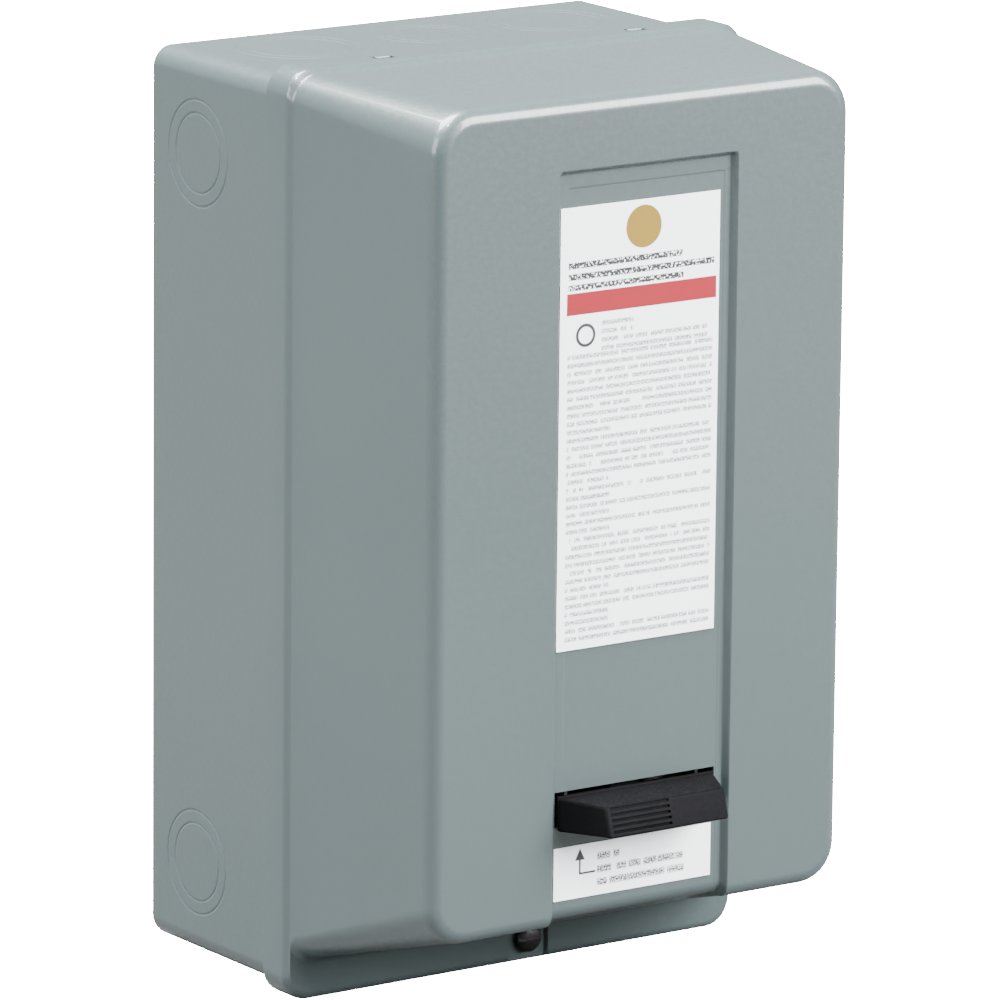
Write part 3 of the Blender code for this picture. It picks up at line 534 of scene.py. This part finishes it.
at = start("coil_tape")
parts = at.node("SeparateXYZ", {0: at})
depth = Shade(at.material, parts.socket.node.outputs["Y"])
lap = depth.math("FRACT", depth * 330.0 + parts * 12.0)
fibre = at.noise(1500.0, 2.0, (1.0, 0.2, 1.0))
tone = lap.step(0.0, 0.12) * 0.6 + fibre * 0.4
coil_tape = surface(
    tone.blend((0.20, 0.06, 0.02, 1.0), (0.46, 0.17, 0.07, 1.0)),
    fibre.step(0.3, 0.7, 0.25, 0.45),
    lap.step(0.0, 0.15) * 0.8 + fibre * 0.2,
    0.08 * MM,
)
softened("coil_winding", 0.5 * MM, coil_tape)
nylon = moulding("nylon", (0.62, 0.59, 0.50, 1.0), (0.72, 0.70, 0.62, 1.0), 0.32, 0.46)
softened("coil_bobbin", 0.3 * MM, nylon)

spring_wire = metal(
    "spring_wire", (0.38, 0.38, 0.40, 1.0), (0.58, 0.58, 0.60, 1.0), 0.20, 0.34, 0.004 * MM
)
copper = metal(
    "tinned_copper", (0.55, 0.40, 0.27, 1.0), (0.74, 0.58, 0.42, 1.0), 0.24, 0.42, 0.006 * MM
)


def working_spring(node, body):
    """A coil spring, fixed at its rear end, as a piece with a mesh of its own."""
    shape = bmesh.new()
    shape.from_mesh(frame["nodes"][node].data)
    bmesh.ops.remove_doubles(shape, verts=shape.verts, dist=0.002 * MM)
    made = piece(node + "_coil", shape, body, 60)
    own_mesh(made)
    wear(made, spring_wire)
    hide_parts(node)


working_spring("return_spring", "enclosure")
for pole in (1, 2, 3):
    wear(frame["nodes"][f"contact_spring_{pole}"], spring_wire)
    softened(f"line_terminal_{pole}", 0.2 * MM, copper)
    softened(f"load_terminal_{pole}", 0.2 * MM, copper)
    softened(f"contact_bridge_{pole}", 0.2 * MM, copper)
for pole in (1, 2, 3, 4, 5, 6):
    softened(f"terminal_screw_{pole}", 0.25 * MM, zinc)
softened("coil_terminal_left", 0.15 * MM, brass)
softened("coil_terminal_right", 0.15 * MM, brass)


# Overload relay: a phenolic housing with three brass heater elements, and the reset housing across
# its front. A red plunger stands out of that on its spring, and two wires go to the coil circuit.
relay_moulding = moulding(
    "relay_moulding", (0.034, 0.035, 0.040, 1.0), (0.048, 0.050, 0.056, 1.0), 0.36, 0.52
)
softened("overload_housing", 0.6 * MM, relay_moulding)
softened("overload_cover", 0.6 * MM, relay_moulding)
for pole in (1, 2, 3):
    softened(f"heater_unit_{pole}", 0.25 * MM, brass)
    softened(f"relay_terminal_{pole}", 0.2 * MM, copper)
    softened(f"relay_terminal_screw_{pole}", 0.25 * MM, zinc)
softened("control_terminal_left", 0.15 * MM, brass)
softened("control_terminal_right", 0.15 * MM, brass)

red_plastic = moulding(
    "red_plastic", (0.42, 0.018, 0.016, 1.0), (0.52, 0.03, 0.026, 1.0), 0.28, 0.42
)
softened("reset_plunger", 0.3 * MM, red_plastic)
working_spring("plunger_spring", "enclosure")

at = start("wire_insulation")
skin = at.noise(900.0, 2.0, (1.0, 1.0, 0.3))
wire_insulation = surface(
    skin.blend((0.012, 0.012, 0.014, 1.0), (0.022, 0.022, 0.025, 1.0)),
    skin.step(0.3, 0.7, 0.34, 0.50),
    skin,
    0.03 * MM,
)
wear(frame["nodes"]["control_wire_left"], wire_insulation)
wear(frame["nodes"]["control_wire_right"], wire_insulation)


# Cover: a deep drawn steel shell, enamelled like the box. A rim fits over the box, a soft step
# leads to the drafted body, and the front has a sunk panel for the labels and the reset lever,
# with a hollow at the bottom edge for the screw.
RIM_FRONT = 70.8 * MM
STEP = 2.5 * MM
STEP_IN = 1.35 * MM
RIM_CORNER = 8.0 * MM
SHOULDER = 73.4 * MM
SHOULDER_BOTTOM = -119.6 * MM
SHOULDER_ROUND = 3.0 * MM
BODY_HALF_WIDTH = 68.6 * MM
BODY_BOTTOM = -101.8 * MM
BODY_TOP = 127.2 * MM
FRONT_FILLET = 4.2 * MM
FRONT_CORNER_HIGH = 12.0 * MM
FRONT_CORNER_LOW = 11.0 * MM
PANEL_LEFT = -28.7 * MM
PANEL_RIGHT = 30.7 * MM
PANEL_TOP = 108.1 * MM
PANEL_WALL = 1.7 * MM
PANEL_SINK = 2.0 * MM
PANEL_START = 112.0 * MM
PANEL_FOOT_RISE = 1.2 * MM
INSET_LEFT = -24.4 * MM
INSET_RIGHT = 27.6 * MM
INSET_TOP = 102.9 * MM
INSET_WALL = 0.6 * MM
INSET_SINK = 0.25 * MM
INSET_BOTTOM = -90.0 * MM
INSET_FADE = 8.0 * MM
POCKET_HALF_WIDTH = 6.0 * MM
POCKET_WALL = 0.7 * MM
POCKET_TOP = -116.0 * MM
POCKET_FLOOR = 72.2 * MM
LEVER_SLOT_BOTTOM = -73.6 * MM
LEVER_SLOT_TOP = -63.8 * MM
HOOK_SLOT_HALF_WIDTH = 3.1 * MM
SCREW_HOLE_RADIUS = 1.9 * MM

rim_low, rim_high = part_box("front_cover")
front_depth = -rim_low.y
rim_rear = -rim_high.y


def eased(value, width):
    """A smooth rise from 0 to 1 as value goes from 0 to width."""
    share = min(max(value / width, 0.0), 1.0)
    return share * share * (3 - 2 * share)


sections = [(rim_rear, rim_high.x, rim_low.z, rim_high.z, RIM_CORNER, RIM_CORNER)]
for turn in (0.0, 22.5, 45.0, 67.5, 90.0):
    depth = RIM_FRONT + STEP * math.sin(math.radians(turn))
    drawn_in = STEP_IN * eased(depth - RIM_FRONT, STEP)
    half_width = rim_high.x - drawn_in
    bottom = rim_low.z + STEP * (1 - math.cos(math.radians(turn)))
    top = rim_high.z - drawn_in
    low = RIM_CORNER - 0.5 * drawn_in
    sections.append((depth, half_width, bottom, top, RIM_CORNER, low))
draft_start = RIM_FRONT + STEP
draft_end = front_depth - FRONT_FILLET


def drafted(depth, bottom):
    """The body's outline at a depth between the step and the front fillet."""
    share = (depth - draft_start) / (draft_end - draft_start)
    half_width = rim_high.x - STEP_IN + share * (BODY_HALF_WIDTH - rim_high.x + STEP_IN)
    top = rim_high.z - STEP_IN + share * (BODY_TOP - rim_high.z + STEP_IN)
    high = (8 + 4 * share) * MM
    low = (7 + 4 * share) * MM
    return (depth, half_width, bottom, top, high, low)


sections.append(drafted(SHOULDER, SHOULDER_BOTTOM))
for turn in (30.0, 60.0, 90.0):
    depth = SHOULDER + SHOULDER_ROUND * (1 - math.cos(math.radians(turn)))
    bottom = SHOULDER_BOTTOM + SHOULDER_ROUND * math.sin(math.radians(turn))
    sections.append(drafted(depth, bottom))
slope_start = SHOULDER + SHOULDER_ROUND
slope_bottom = SHOULDER_BOTTOM + SHOULDER_ROUND
for share in (0.25, 0.5, 0.75, 0.88, 0.96):
    depth = slope_start + share * (draft_end - slope_start)
    sections.append(drafted(depth, slope_bottom + share * (BODY_BOTTOM - slope_bottom)))
for turn in (0.0, 18.0, 36.0, 54.0, 72.0, 90.0):
    inset = FRONT_FILLET * (1 - math.cos(math.radians(turn)))
    depth = front_depth - FRONT_FILLET * (1 - math.sin(math.radians(turn)))
    sections.append(
        (
            depth,
            BODY_HALF_WIDTH - inset,
            BODY_BOTTOM + inset,
            BODY_TOP - inset,
            FRONT_CORNER_HIGH - 0.7 * inset,
            FRONT_CORNER_LOW - 0.7 * inset,
        )
    )
shell = drawn_skin(sections, close_last=True)


def creased(shape, faces, cuts):
    """Splits faces along planes, each a place and a normal, so that they can be pressed in."""
    for place, normal in cuts:
        geom = list({part for face in faces for part in (face, *face.edges, *face.verts)})
        found = bmesh.ops.bisect_plane(
            shape, geom=geom, plane_co=place, plane_no=normal, dist=0.001 * MM
        )
        faces = [part for part in found["geom"] if isinstance(part, bmesh.types.BMFace)]


pressed = [face for face in shell.faces if -face.calc_center_median().y > 100 * MM]
pressed = [face for face in pressed if face.normal.y < -0.1 or face.normal.z < -0.5]
cuts = []
for share in (0.0, 0.12, 0.28, 0.5, 0.72, 0.88, 1.0):
    cuts.append(((PANEL_LEFT + share * PANEL_WALL, 0, 0), (1, 0, 0)))
    cuts.append(((PANEL_RIGHT - share * PANEL_WALL, 0, 0), (1, 0, 0)))
    cuts.append(((0, 0, PANEL_TOP - share * PANEL_WALL), (0, 0, 1)))
for share in (0.0, 0.3, 0.7, 1.0):
    cuts.append(((INSET_LEFT + share * INSET_WALL, 0, 0), (1, 0, 0)))
    cuts.append(((INSET_RIGHT - share * INSET_WALL, 0, 0), (1, 0, 0)))
    cuts.append(((0, 0, INSET_TOP - share * INSET_WALL), (0, 0, 1)))
creased(shell, pressed, cuts)

hollow = [face for face in shell.faces if face.calc_center_median().z < -110 * MM]
cuts = []
for share in (0.0, 0.5, 1.0):
    edge = POCKET_HALF_WIDTH + share * POCKET_WALL
    cuts.append(((SCREW_X - edge, 0, 0), (1, 0, 0)))
    cuts.append(((SCREW_X + edge, 0, 0), (1, 0, 0)))
creased(shell, hollow, cuts)

for vert in shell.verts:
    depth = -vert.co.y
    inside = eased(vert.co.x - PANEL_LEFT, PANEL_WALL) * eased(PANEL_RIGHT - vert.co.x, PANEL_WALL)
    inside *= eased(PANEL_TOP - vert.co.z, PANEL_WALL)
    inside *= eased(depth - PANEL_START, draft_end - PANEL_START)
    vert.co.y += PANEL_SINK * inside
    inset = eased(vert.co.x - INSET_LEFT, INSET_WALL) * eased(INSET_RIGHT - vert.co.x, INSET_WALL)
    inset *= eased(INSET_TOP - vert.co.z, INSET_WALL)
    inset *= eased(vert.co.z - INSET_BOTTOM, INSET_FADE)
    vert.co.y += INSET_SINK * inset * inside
    if vert.co.z < BODY_BOTTOM + FRONT_FILLET + 0.1 * MM:
        vert.co.z += PANEL_FOOT_RISE * inside
    beside = POCKET_HALF_WIDTH + POCKET_WALL - abs(vert.co.x - SCREW_X)
    if vert.co.z < POCKET_TOP and depth > POCKET_FLOOR:
        vert.co.y += eased(beside, POCKET_WALL) * (depth - POCKET_FLOOR)

cover_shell = piece("cover_shell", shell, "cover")
modified(cover_shell, "SOLIDIFY", thickness=SHEET, offset=-1.0, use_even_offset=True)
applied(cover_shell)
tool = bmesh.new()
lever_low, lever_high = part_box("reset_lever")
block(
    tool,
    (lever_low.x - 0.5 * MM, lever_high.x + 0.5 * MM),
    (front_depth - 6 * MM, front_depth + 4 * MM),
    (LEVER_SLOT_BOTTOM, LEVER_SLOT_TOP),
)
for x in HOOK_XS:
    block(
        tool,
        (x - HOOK_SLOT_HALF_WIDTH, x + HOOK_SLOT_HALF_WIDTH),
        (HOOK_DEPTH - 1.0 * MM, HOOK_DEPTH + SHEET + 1.4 * MM),
        (rim_high.z - 4 * MM, rim_high.z + 4 * MM),
    )
cut_from(cover_shell, tool)
tool = bmesh.new()
hole = ((-12 * MM, 0), (-12 * MM, SCREW_HOLE_RADIUS), (12 * MM, SCREW_HOLE_RADIUS), (12 * MM, 0))
turned(tool, hole, (SCREW_X, -POCKET_FLOOR, SCREW_Z), (0, 1, 0), steps=24)
cut_from(cover_shell, tool)
rounded(cover_shell, 0.28 * MM, 55)
wear(cover_shell, enamel)
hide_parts("front_cover")


# Labels: two printed white vinyl labels, stuck to the sunk panel. Their print is generic: a plain
# disc, three bold lines, a red band, a ring and small lines, then an arrow on the lower one.
VINYL = (0.88, 0.91, 0.94, 1.0)
VINYL_LIGHT = (0.91, 0.93, 0.96, 1.0)
INK = (0.022, 0.023, 0.026, 1.0)
SMALL_INK = (0.050, 0.053, 0.060, 1.0)
BAND_RED = (0.22, 0.006, 0.014, 1.0)
OCHRE = (0.20, 0.125, 0.012, 1.0)


def label_point(name):
    """Opens a label's material, and gives its point and that point's x and z in millimetres."""
    point = start(name)
    parts = point.node("SeparateXYZ", {0: point})
    x = Shade(point.material, parts.socket.node.outputs["X"]) * 1000.0
    z = Shade(point.material, parts.socket.node.outputs["Z"]) * 1000.0
    return point, x, z


def bar(x, z, left, right, low, high):
    """One printed rectangle."""
    return x.within(left, right, 0.12) * z.within(low, high, 0.12)


def speckle(x, across, along, detail):
    """Noise on a flat point, whose grain is finer where across and along grow faster."""
    point = x.node("CombineXYZ", {0: across, 1: along, 2: 0.0})
    return point.node("TexNoise", {"Vector": point, "Scale": 1.0, "Detail": detail})


def small_print(x, z, left, right, low, high, pitch):
    """Rows of short bars that stand for text."""
    rows = (z - low) * (1.0 / pitch)
    row = rows.math("FLOOR", rows)
    phase = rows.math("FRACT", rows)
    seed = row.node("TexWhiteNoise", {"W": row}, "Value", noise_dimensions="1D")
    end = seed.step(0.70, 0.72, right, left + 0.3 * (right - left))
    gaps = speckle(x, x * 0.62, row * 7.3, 0.0).step(0.31, 0.37)
    strokes = speckle(x, x * 2.4, z * 2.0, 1.0).step(0.38, 0.58, 0.25, 1.0)
    short = (end - x).step(-0.2, 0.2)
    line = phase.within(0.26, 0.78, 0.1)
    return bar(x, z, left, right, low, high) * line * gaps * strokes * short


def printed_vinyl(colour, fleck, print_relief):
    """Closes a label's material: a satin vinyl, with the thickness of its print."""
    return surface(
        colour,
        fleck.step(0.3, 0.7, 0.34, 0.42),
        fleck * 0.3 + print_relief * 0.35,
        0.01 * MM,
        **{"Specular IOR Level": 0.4},
    )


at, x, z = label_point("label_print")
across = (x - 0.2) * (x - 0.2) + (z - 90.1) * (z - 90.1)
disc = across.step(33.0, 36.0, 1.0, 0.0)
header = bar(x, z, -24.4, 13.2, 80.7, 82.4) + bar(x, z, -24.4, 23.8, 77.6, 79.3)
header = header + bar(x, z, -24.4, 13.6, 74.7, 76.3)
header = header * speckle(x, x * 1.6, z * 1.3, 1.0).step(0.38, 0.48)
mark = ((x + 18.6) * (x + 18.6) + (z - 62.2) * (z - 62.2)).within(5.5, 10.5, 0.8)
lines = small_print(x, z, -13.4, 21.8, 56.9, 66.1, 2.3)
lines = lines + small_print(x, z, -24.5, 23.6, -22.6, 57.5, 2.29)
red = bar(x, z, -24.9, 24.6, 68.0, 74.0)
fleck = at.noise(1800.0, 1.0)
paper = fleck.step(0.3, 0.7).blend(VINYL, VINYL_LIGHT)
printed = (lines * 0.85).blend(paper, SMALL_INK)
printed = (header + mark).math("MINIMUM", header + mark, 1.0).blend(printed, INK)
printed = red.blend(printed, BAND_RED)
printed = disc.blend(printed, OCHRE)
wear(frame["nodes"]["instruction_label"], printed_vinyl(printed, fleck, red + header))

at, x, z = label_point("reset_label_print")
text = small_print(x, z, -12.6, 16.6, -92.6, -81.6, 3.65)
shaft = bar(x, z, -18.7, -18.1, -87.6, -82.6) + bar(x, z, -18.6, -13.2, -87.8, -87.2)
below_tip = z + 80.4
aside = (x + 18.4).math("ABSOLUTE", x + 18.4)
head = below_tip.step(-3.4, -3.2) * (aside * 2.0 + below_tip).step(-0.3, 0.3, 1.0, 0.0)
arrow = (shaft + head).math("MINIMUM", shaft + head, 1.0)
fleck = at.noise(1800.0, 1.0)
paper = fleck.step(0.3, 0.7).blend(VINYL, VINYL_LIGHT)
ink = (text + arrow).math("MINIMUM", text + arrow, 1.0)
wear(frame["nodes"]["reset_label"], printed_vinyl(ink.blend(paper, INK), fleck, ink))


# Reset lever: a black moulded finger bar outside the panel, with grip ribs on its front. Its neck
# goes through the slot to a hub on a steel pin, and an arm reaches back to the relay's plunger.
BAR_REAR_HALF_WIDTH = 26.2 * MM
BAR_FRONT_HALF_WIDTH = 19.8 * MM
BAR_TOP = -65.3 * MM
BAR_BOTTOM = -74.7 * MM
BAR_SLOPE = 2.7 * MM
NECK_HALF_WIDTH = 20.4 * MM
RIBS = 5
RIB_PITCH = 1.5 * MM
RIB_GROOVE = 0.75 * MM
FINGER_TIP = 104.8 * MM
FINGER_HALF_WIDTH = 5.0 * MM
PIVOT_DEPTH = 125.4 * MM
PIVOT_Z = -69.5 * MM
PLASTIC_BLACK = (0.0036, 0.0036, 0.0044, 1.0)
PLASTIC_FLOW = (0.0050, 0.0050, 0.0060, 1.0)

bar_rear = front_depth - PANEL_SINK + 0.4 * MM
lever = bmesh.new()
verts = block(
    lever,
    (-BAR_REAR_HALF_WIDTH, BAR_REAR_HALF_WIDTH),
    (bar_rear, -lever_low.y),
    (BAR_BOTTOM, BAR_TOP),
)
for vert in verts:
    if vert.co.y < -bar_rear - 5 * MM:
        vert.co.x *= BAR_FRONT_HALF_WIDTH / BAR_REAR_HALF_WIDTH
        if vert.co.z > PIVOT_Z:
            vert.co.y += BAR_SLOPE
            vert.co.z -= 0.5 * MM
        else:
            vert.co.z += 0.8 * MM
bevelled(lever, list(lever.edges), "EDGES", 0.7 * MM, 3)
block(
    lever,
    (-BAR_REAR_HALF_WIDTH, BAR_REAR_HALF_WIDTH),
    (bar_rear - 0.9 * MM, bar_rear + 0.5 * MM),
    (-73.0 * MM, -64.9 * MM),
    bevel=0.3 * MM,
)
reset_bar = piece("reset_bar", lever, "reset_lever")
tool = bmesh.new()
for rib in range(RIBS):
    low = BAR_BOTTOM + 1.9 * MM + RIB_PITCH * rib
    face = -lever_low.y - (0.55 + 0.43 * rib) * MM
    block(
        tool,
        (-18.4 * MM, 1.2 * MM),
        (face - RIB_GROOVE, face + 3 * MM),
        (low, low + RIB_GROOVE),
        bevel=0.2 * MM,
    )
cut_from(reset_bar, tool)
rounded(reset_bar, 0.15 * MM, 40)

arm = bmesh.new()
block(
    arm,
    (-NECK_HALF_WIDTH, NECK_HALF_WIDTH),
    (PIVOT_DEPTH, bar_rear + 1 * MM),
    (-72.2 * MM, -66.8 * MM),
    bevel=0.5 * MM,
)
reset_arm = piece("reset_arm", arm, "reset_lever")
hub = bmesh.new()
hub_profile = (
    (-20.4, 1.45),
    (-20.4, 2.8),
    (-20.0, 3.2),
    (20.0, 3.2),
    (20.4, 2.8),
    (20.4, 1.45),
    (-20.4, 1.45),
)
hub_profile = [(along * MM, radius * MM) for along, radius in hub_profile]
turned(hub, hub_profile, (0, -PIVOT_DEPTH, PIVOT_Z), (1, 0, 0))
reset_hub = piece("reset_hub", hub, "reset_lever")
outline = (
    (PIVOT_DEPTH + 2.6 * MM, PIVOT_Z),
    (PIVOT_DEPTH - 1.5 * MM, PIVOT_Z - 2.2 * MM),
    (FINGER_TIP + 2 * MM, -46 * MM),
    (FINGER_TIP, -45 * MM),
    (FINGER_TIP, -38 * MM),
    (FINGER_TIP + 4 * MM, -38 * MM),
    (FINGER_TIP + 5 * MM, -44 * MM),
)
web = bmesh.new()
points = [(-FINGER_HALF_WIDTH, -depth, height) for depth, height in outline]
profile = web.faces.new([web.verts.new(point) for point in points])
extruded = bmesh.ops.extrude_face_region(web, geom=[profile])
moved = [part for part in extruded["geom"] if isinstance(part, bmesh.types.BMVert)]
bmesh.ops.translate(web, verts=moved, vec=(2 * FINGER_HALF_WIDTH, 0, 0))
bmesh.ops.recalc_face_normals(web, faces=web.faces)
reset_finger = piece("reset_finger", web, "reset_lever")
modified(reset_finger, "BEVEL", width=0.6 * MM, segments=3, limit_method="ANGLE")

at = start("moulded_black")
grain = at.noise(1500.0, 2.0)
flow = at.noise(60.0, 3.0, (0.25, 1.0, 1.0))
moulded_black = surface(
    flow.step(0.35, 0.65).blend(PLASTIC_BLACK, PLASTIC_FLOW),
    grain.step(0.3, 0.7, 0.56, 0.70),
    grain,
    0.014 * MM,
    **{"Specular IOR Level": 0.03},
)
for made in (reset_bar, reset_arm, reset_hub, reset_finger):
    wear(made, moulded_black)
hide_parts("reset_lever")


# Lever mount: a blackened steel bracket behind the panel, its two ears holding the pin that the
# lever turns on. A torsion spring on the pin brings the lever back.
at = start("blackened_steel")
worn = at.noise(300.0, 3.0)
blackened = surface(
    worn.blend((0.022, 0.023, 0.025, 1.0), (0.045, 0.045, 0.047, 1.0)),
    worn.step(0.3, 0.7, 0.34, 0.50),
    worn,
    0.01 * MM,
    **{"Metallic": 0.7},
)
softened("reset_lever_bracket", 0.2 * MM, blackened)
softened("reset_lever_pin", 0.3 * MM, blackened)
wear(frame["nodes"]["reset_lever_spring"], spring_wire)


# Cover screw: a slotted round-head steel screw, blackened, in the cover's bottom hollow. A push-on
# washer behind the sheet keeps it with the cover.
HEAD_HEIGHT = 2.9
HEAD_SLOT_FLOOR = 1.7 * MM
HEAD_SLOT_HALF_WIDTH = 0.55 * MM
THREAD_TURNS = 14
THREAD_PITCH = 0.7
THREAD_CREST = 1.72
THREAD_ROOT = 1.35
SHANK_LENGTH = 10.4

screw_low, screw_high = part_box("cover_screw")
dome = ((0, 0), (0, 4.1), (0.9, 4.2), (1.7, 3.9), (2.4, 3.1), (2.8, 1.8), (HEAD_HEIGHT, 0))
head = bmesh.new()
seat = -screw_low.y - HEAD_HEIGHT * MM
profile = [(far * MM, radius * MM) for far, radius in dome]
turned(head, profile, (SCREW_X, -seat, SCREW_Z), (0, -1, 0))
screw_head = piece("screw_head", head, "cover_screw", 60)
tool = bmesh.new()
block(
    tool,
    (SCREW_X - 6 * MM, SCREW_X + 6 * MM),
    (seat + HEAD_SLOT_FLOOR, seat + 6 * MM),
    (SCREW_Z - HEAD_SLOT_HALF_WIDTH, SCREW_Z + HEAD_SLOT_HALF_WIDTH),
)
cut_from(screw_head, tool)
shank = bmesh.new()
thread = [(0.0, 0.0), (0.0, 1.2)]
for number in range(THREAD_TURNS):
    thread.append((THREAD_PITCH * (number + 0.5), THREAD_CREST))
    thread.append((THREAD_PITCH * (number + 1), THREAD_ROOT))
thread.append((SHANK_LENGTH, 0.0))
profile = [(far * MM, radius * MM) for far, radius in thread]
turned(shank, profile, (SCREW_X, screw_high.y, SCREW_Z), (0, -1, 0), steps=20)
screw_shank = piece("screw_shank", shank, "cover_screw", 20)

wear(screw_head, blackened)
wear(screw_shank, blackened)
wear(frame["nodes"]["cover_screw_washer"], zinc)
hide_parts("cover_screw")


# Floor, lights and camera: a plain pale floor, a large overhead light, a light on each side and a
# small high one, which puts the glints on the cover's corners.
FLOOR_GAP = 1.2 * MM
BACKDROP_GLOW = 60.0
AMBIENT = 0.52
AIM = Vector((0, -0.066, 0))
CAMERA_PLACE = (-1.34006, -1.98915, 0.53899)
CAMERA_AZIMUTH = math.radians(-34.852)
CAMERA_HEIGHT_ANGLE = math.radians(12.904)
CAMERA_ROLL = math.radians(0.572)
CAMERA_LENS = 312.49

floor_shape = bmesh.new()
bmesh.ops.create_grid(
    floor_shape,
    x_segments=1,
    y_segments=1,
    size=30.0,
    matrix=Matrix.Translation((0, 0, rim_low.z - FLOOR_GAP)),
)
floor_mesh = bpy.data.meshes.new("floor")
floor_shape.to_mesh(floor_mesh)
floor_shape.free()
floor = bpy.data.objects.new("floor", floor_mesh)
bpy.context.scene.collection.objects.link(floor)

at = start("floor_paper")
seen = at.node("LightPath", {}, "Is Camera Ray")
paper = at.node("BsdfDiffuse", {"Color": (0.09, 0.09, 0.09, 1.0)})
glow = at.node("Emission", {"Color": (1.0, 1.0, 1.0, 1.0), "Strength": BACKDROP_GLOW})
mixed = at.node("MixShader", {0: seen * 0.85, 1: paper, 2: glow})
mixed.node("OutputMaterial", {"Surface": mixed})
wear(floor, at.material)

world = bpy.data.worlds.new("studio")
world.use_nodes = True
bpy.context.scene.world = world
world.node_tree.nodes.clear()
sky = Shade(world)
seen = sky.node("LightPath", {}, "Is Camera Ray")
strength = seen * BACKDROP_GLOW + AMBIENT
glow = sky.node("Background", {"Color": (1.0, 1.0, 1.0, 1.0), "Strength": strength})
glow.node("OutputWorld", {"Surface": glow})


def softbox(name, direction, distance, size, power):
    """A square area light that faces the middle of the starter."""
    lamp = bpy.data.lights.new(name, "AREA")
    lamp.shape = "SQUARE"
    lamp.size = size
    lamp.energy = power
    made = bpy.data.objects.new(name, lamp)
    bpy.context.scene.collection.objects.link(made)
    toward = Vector(direction).normalized()
    made.location = AIM + distance * toward
    made.rotation_euler = toward.to_track_quat("Z", "Y").to_euler()


softbox("overhead", (-0.25, 0.25, 1.0), 2.6, 1.8, 640.0)
softbox("right_front", (0.60, -0.80, 0.55), 3.0, 2.0, 560.0)
softbox("left_side", (-1.0, -0.05, 0.35), 3.0, 1.6, 95.0)
softbox("high_left", (-0.34, -0.28, 0.86), 2.5, 0.22, 50.0)

back = Vector(
    (
        math.sin(CAMERA_AZIMUTH) * math.cos(CAMERA_HEIGHT_ANGLE),
        -math.cos(CAMERA_AZIMUTH) * math.cos(CAMERA_HEIGHT_ANGLE),
        math.sin(CAMERA_HEIGHT_ANGLE),
    )
)
level = (-back).cross(Vector((0, 0, 1))).normalized()
upright = level.cross(-back)
right = level * math.cos(CAMERA_ROLL) + upright * math.sin(CAMERA_ROLL)
up = upright * math.cos(CAMERA_ROLL) - level * math.sin(CAMERA_ROLL)
lens = bpy.data.cameras.new("camera")
lens.lens = CAMERA_LENS
lens.sensor_width = 36.0
camera = bpy.data.objects.new("camera", lens)
bpy.context.scene.collection.objects.link(camera)
facing = Matrix((right, up, back)).transposed().to_4x4()
camera.matrix_world = Matrix.Translation(CAMERA_PLACE) @ facing
bpy.context.scene.camera = camera
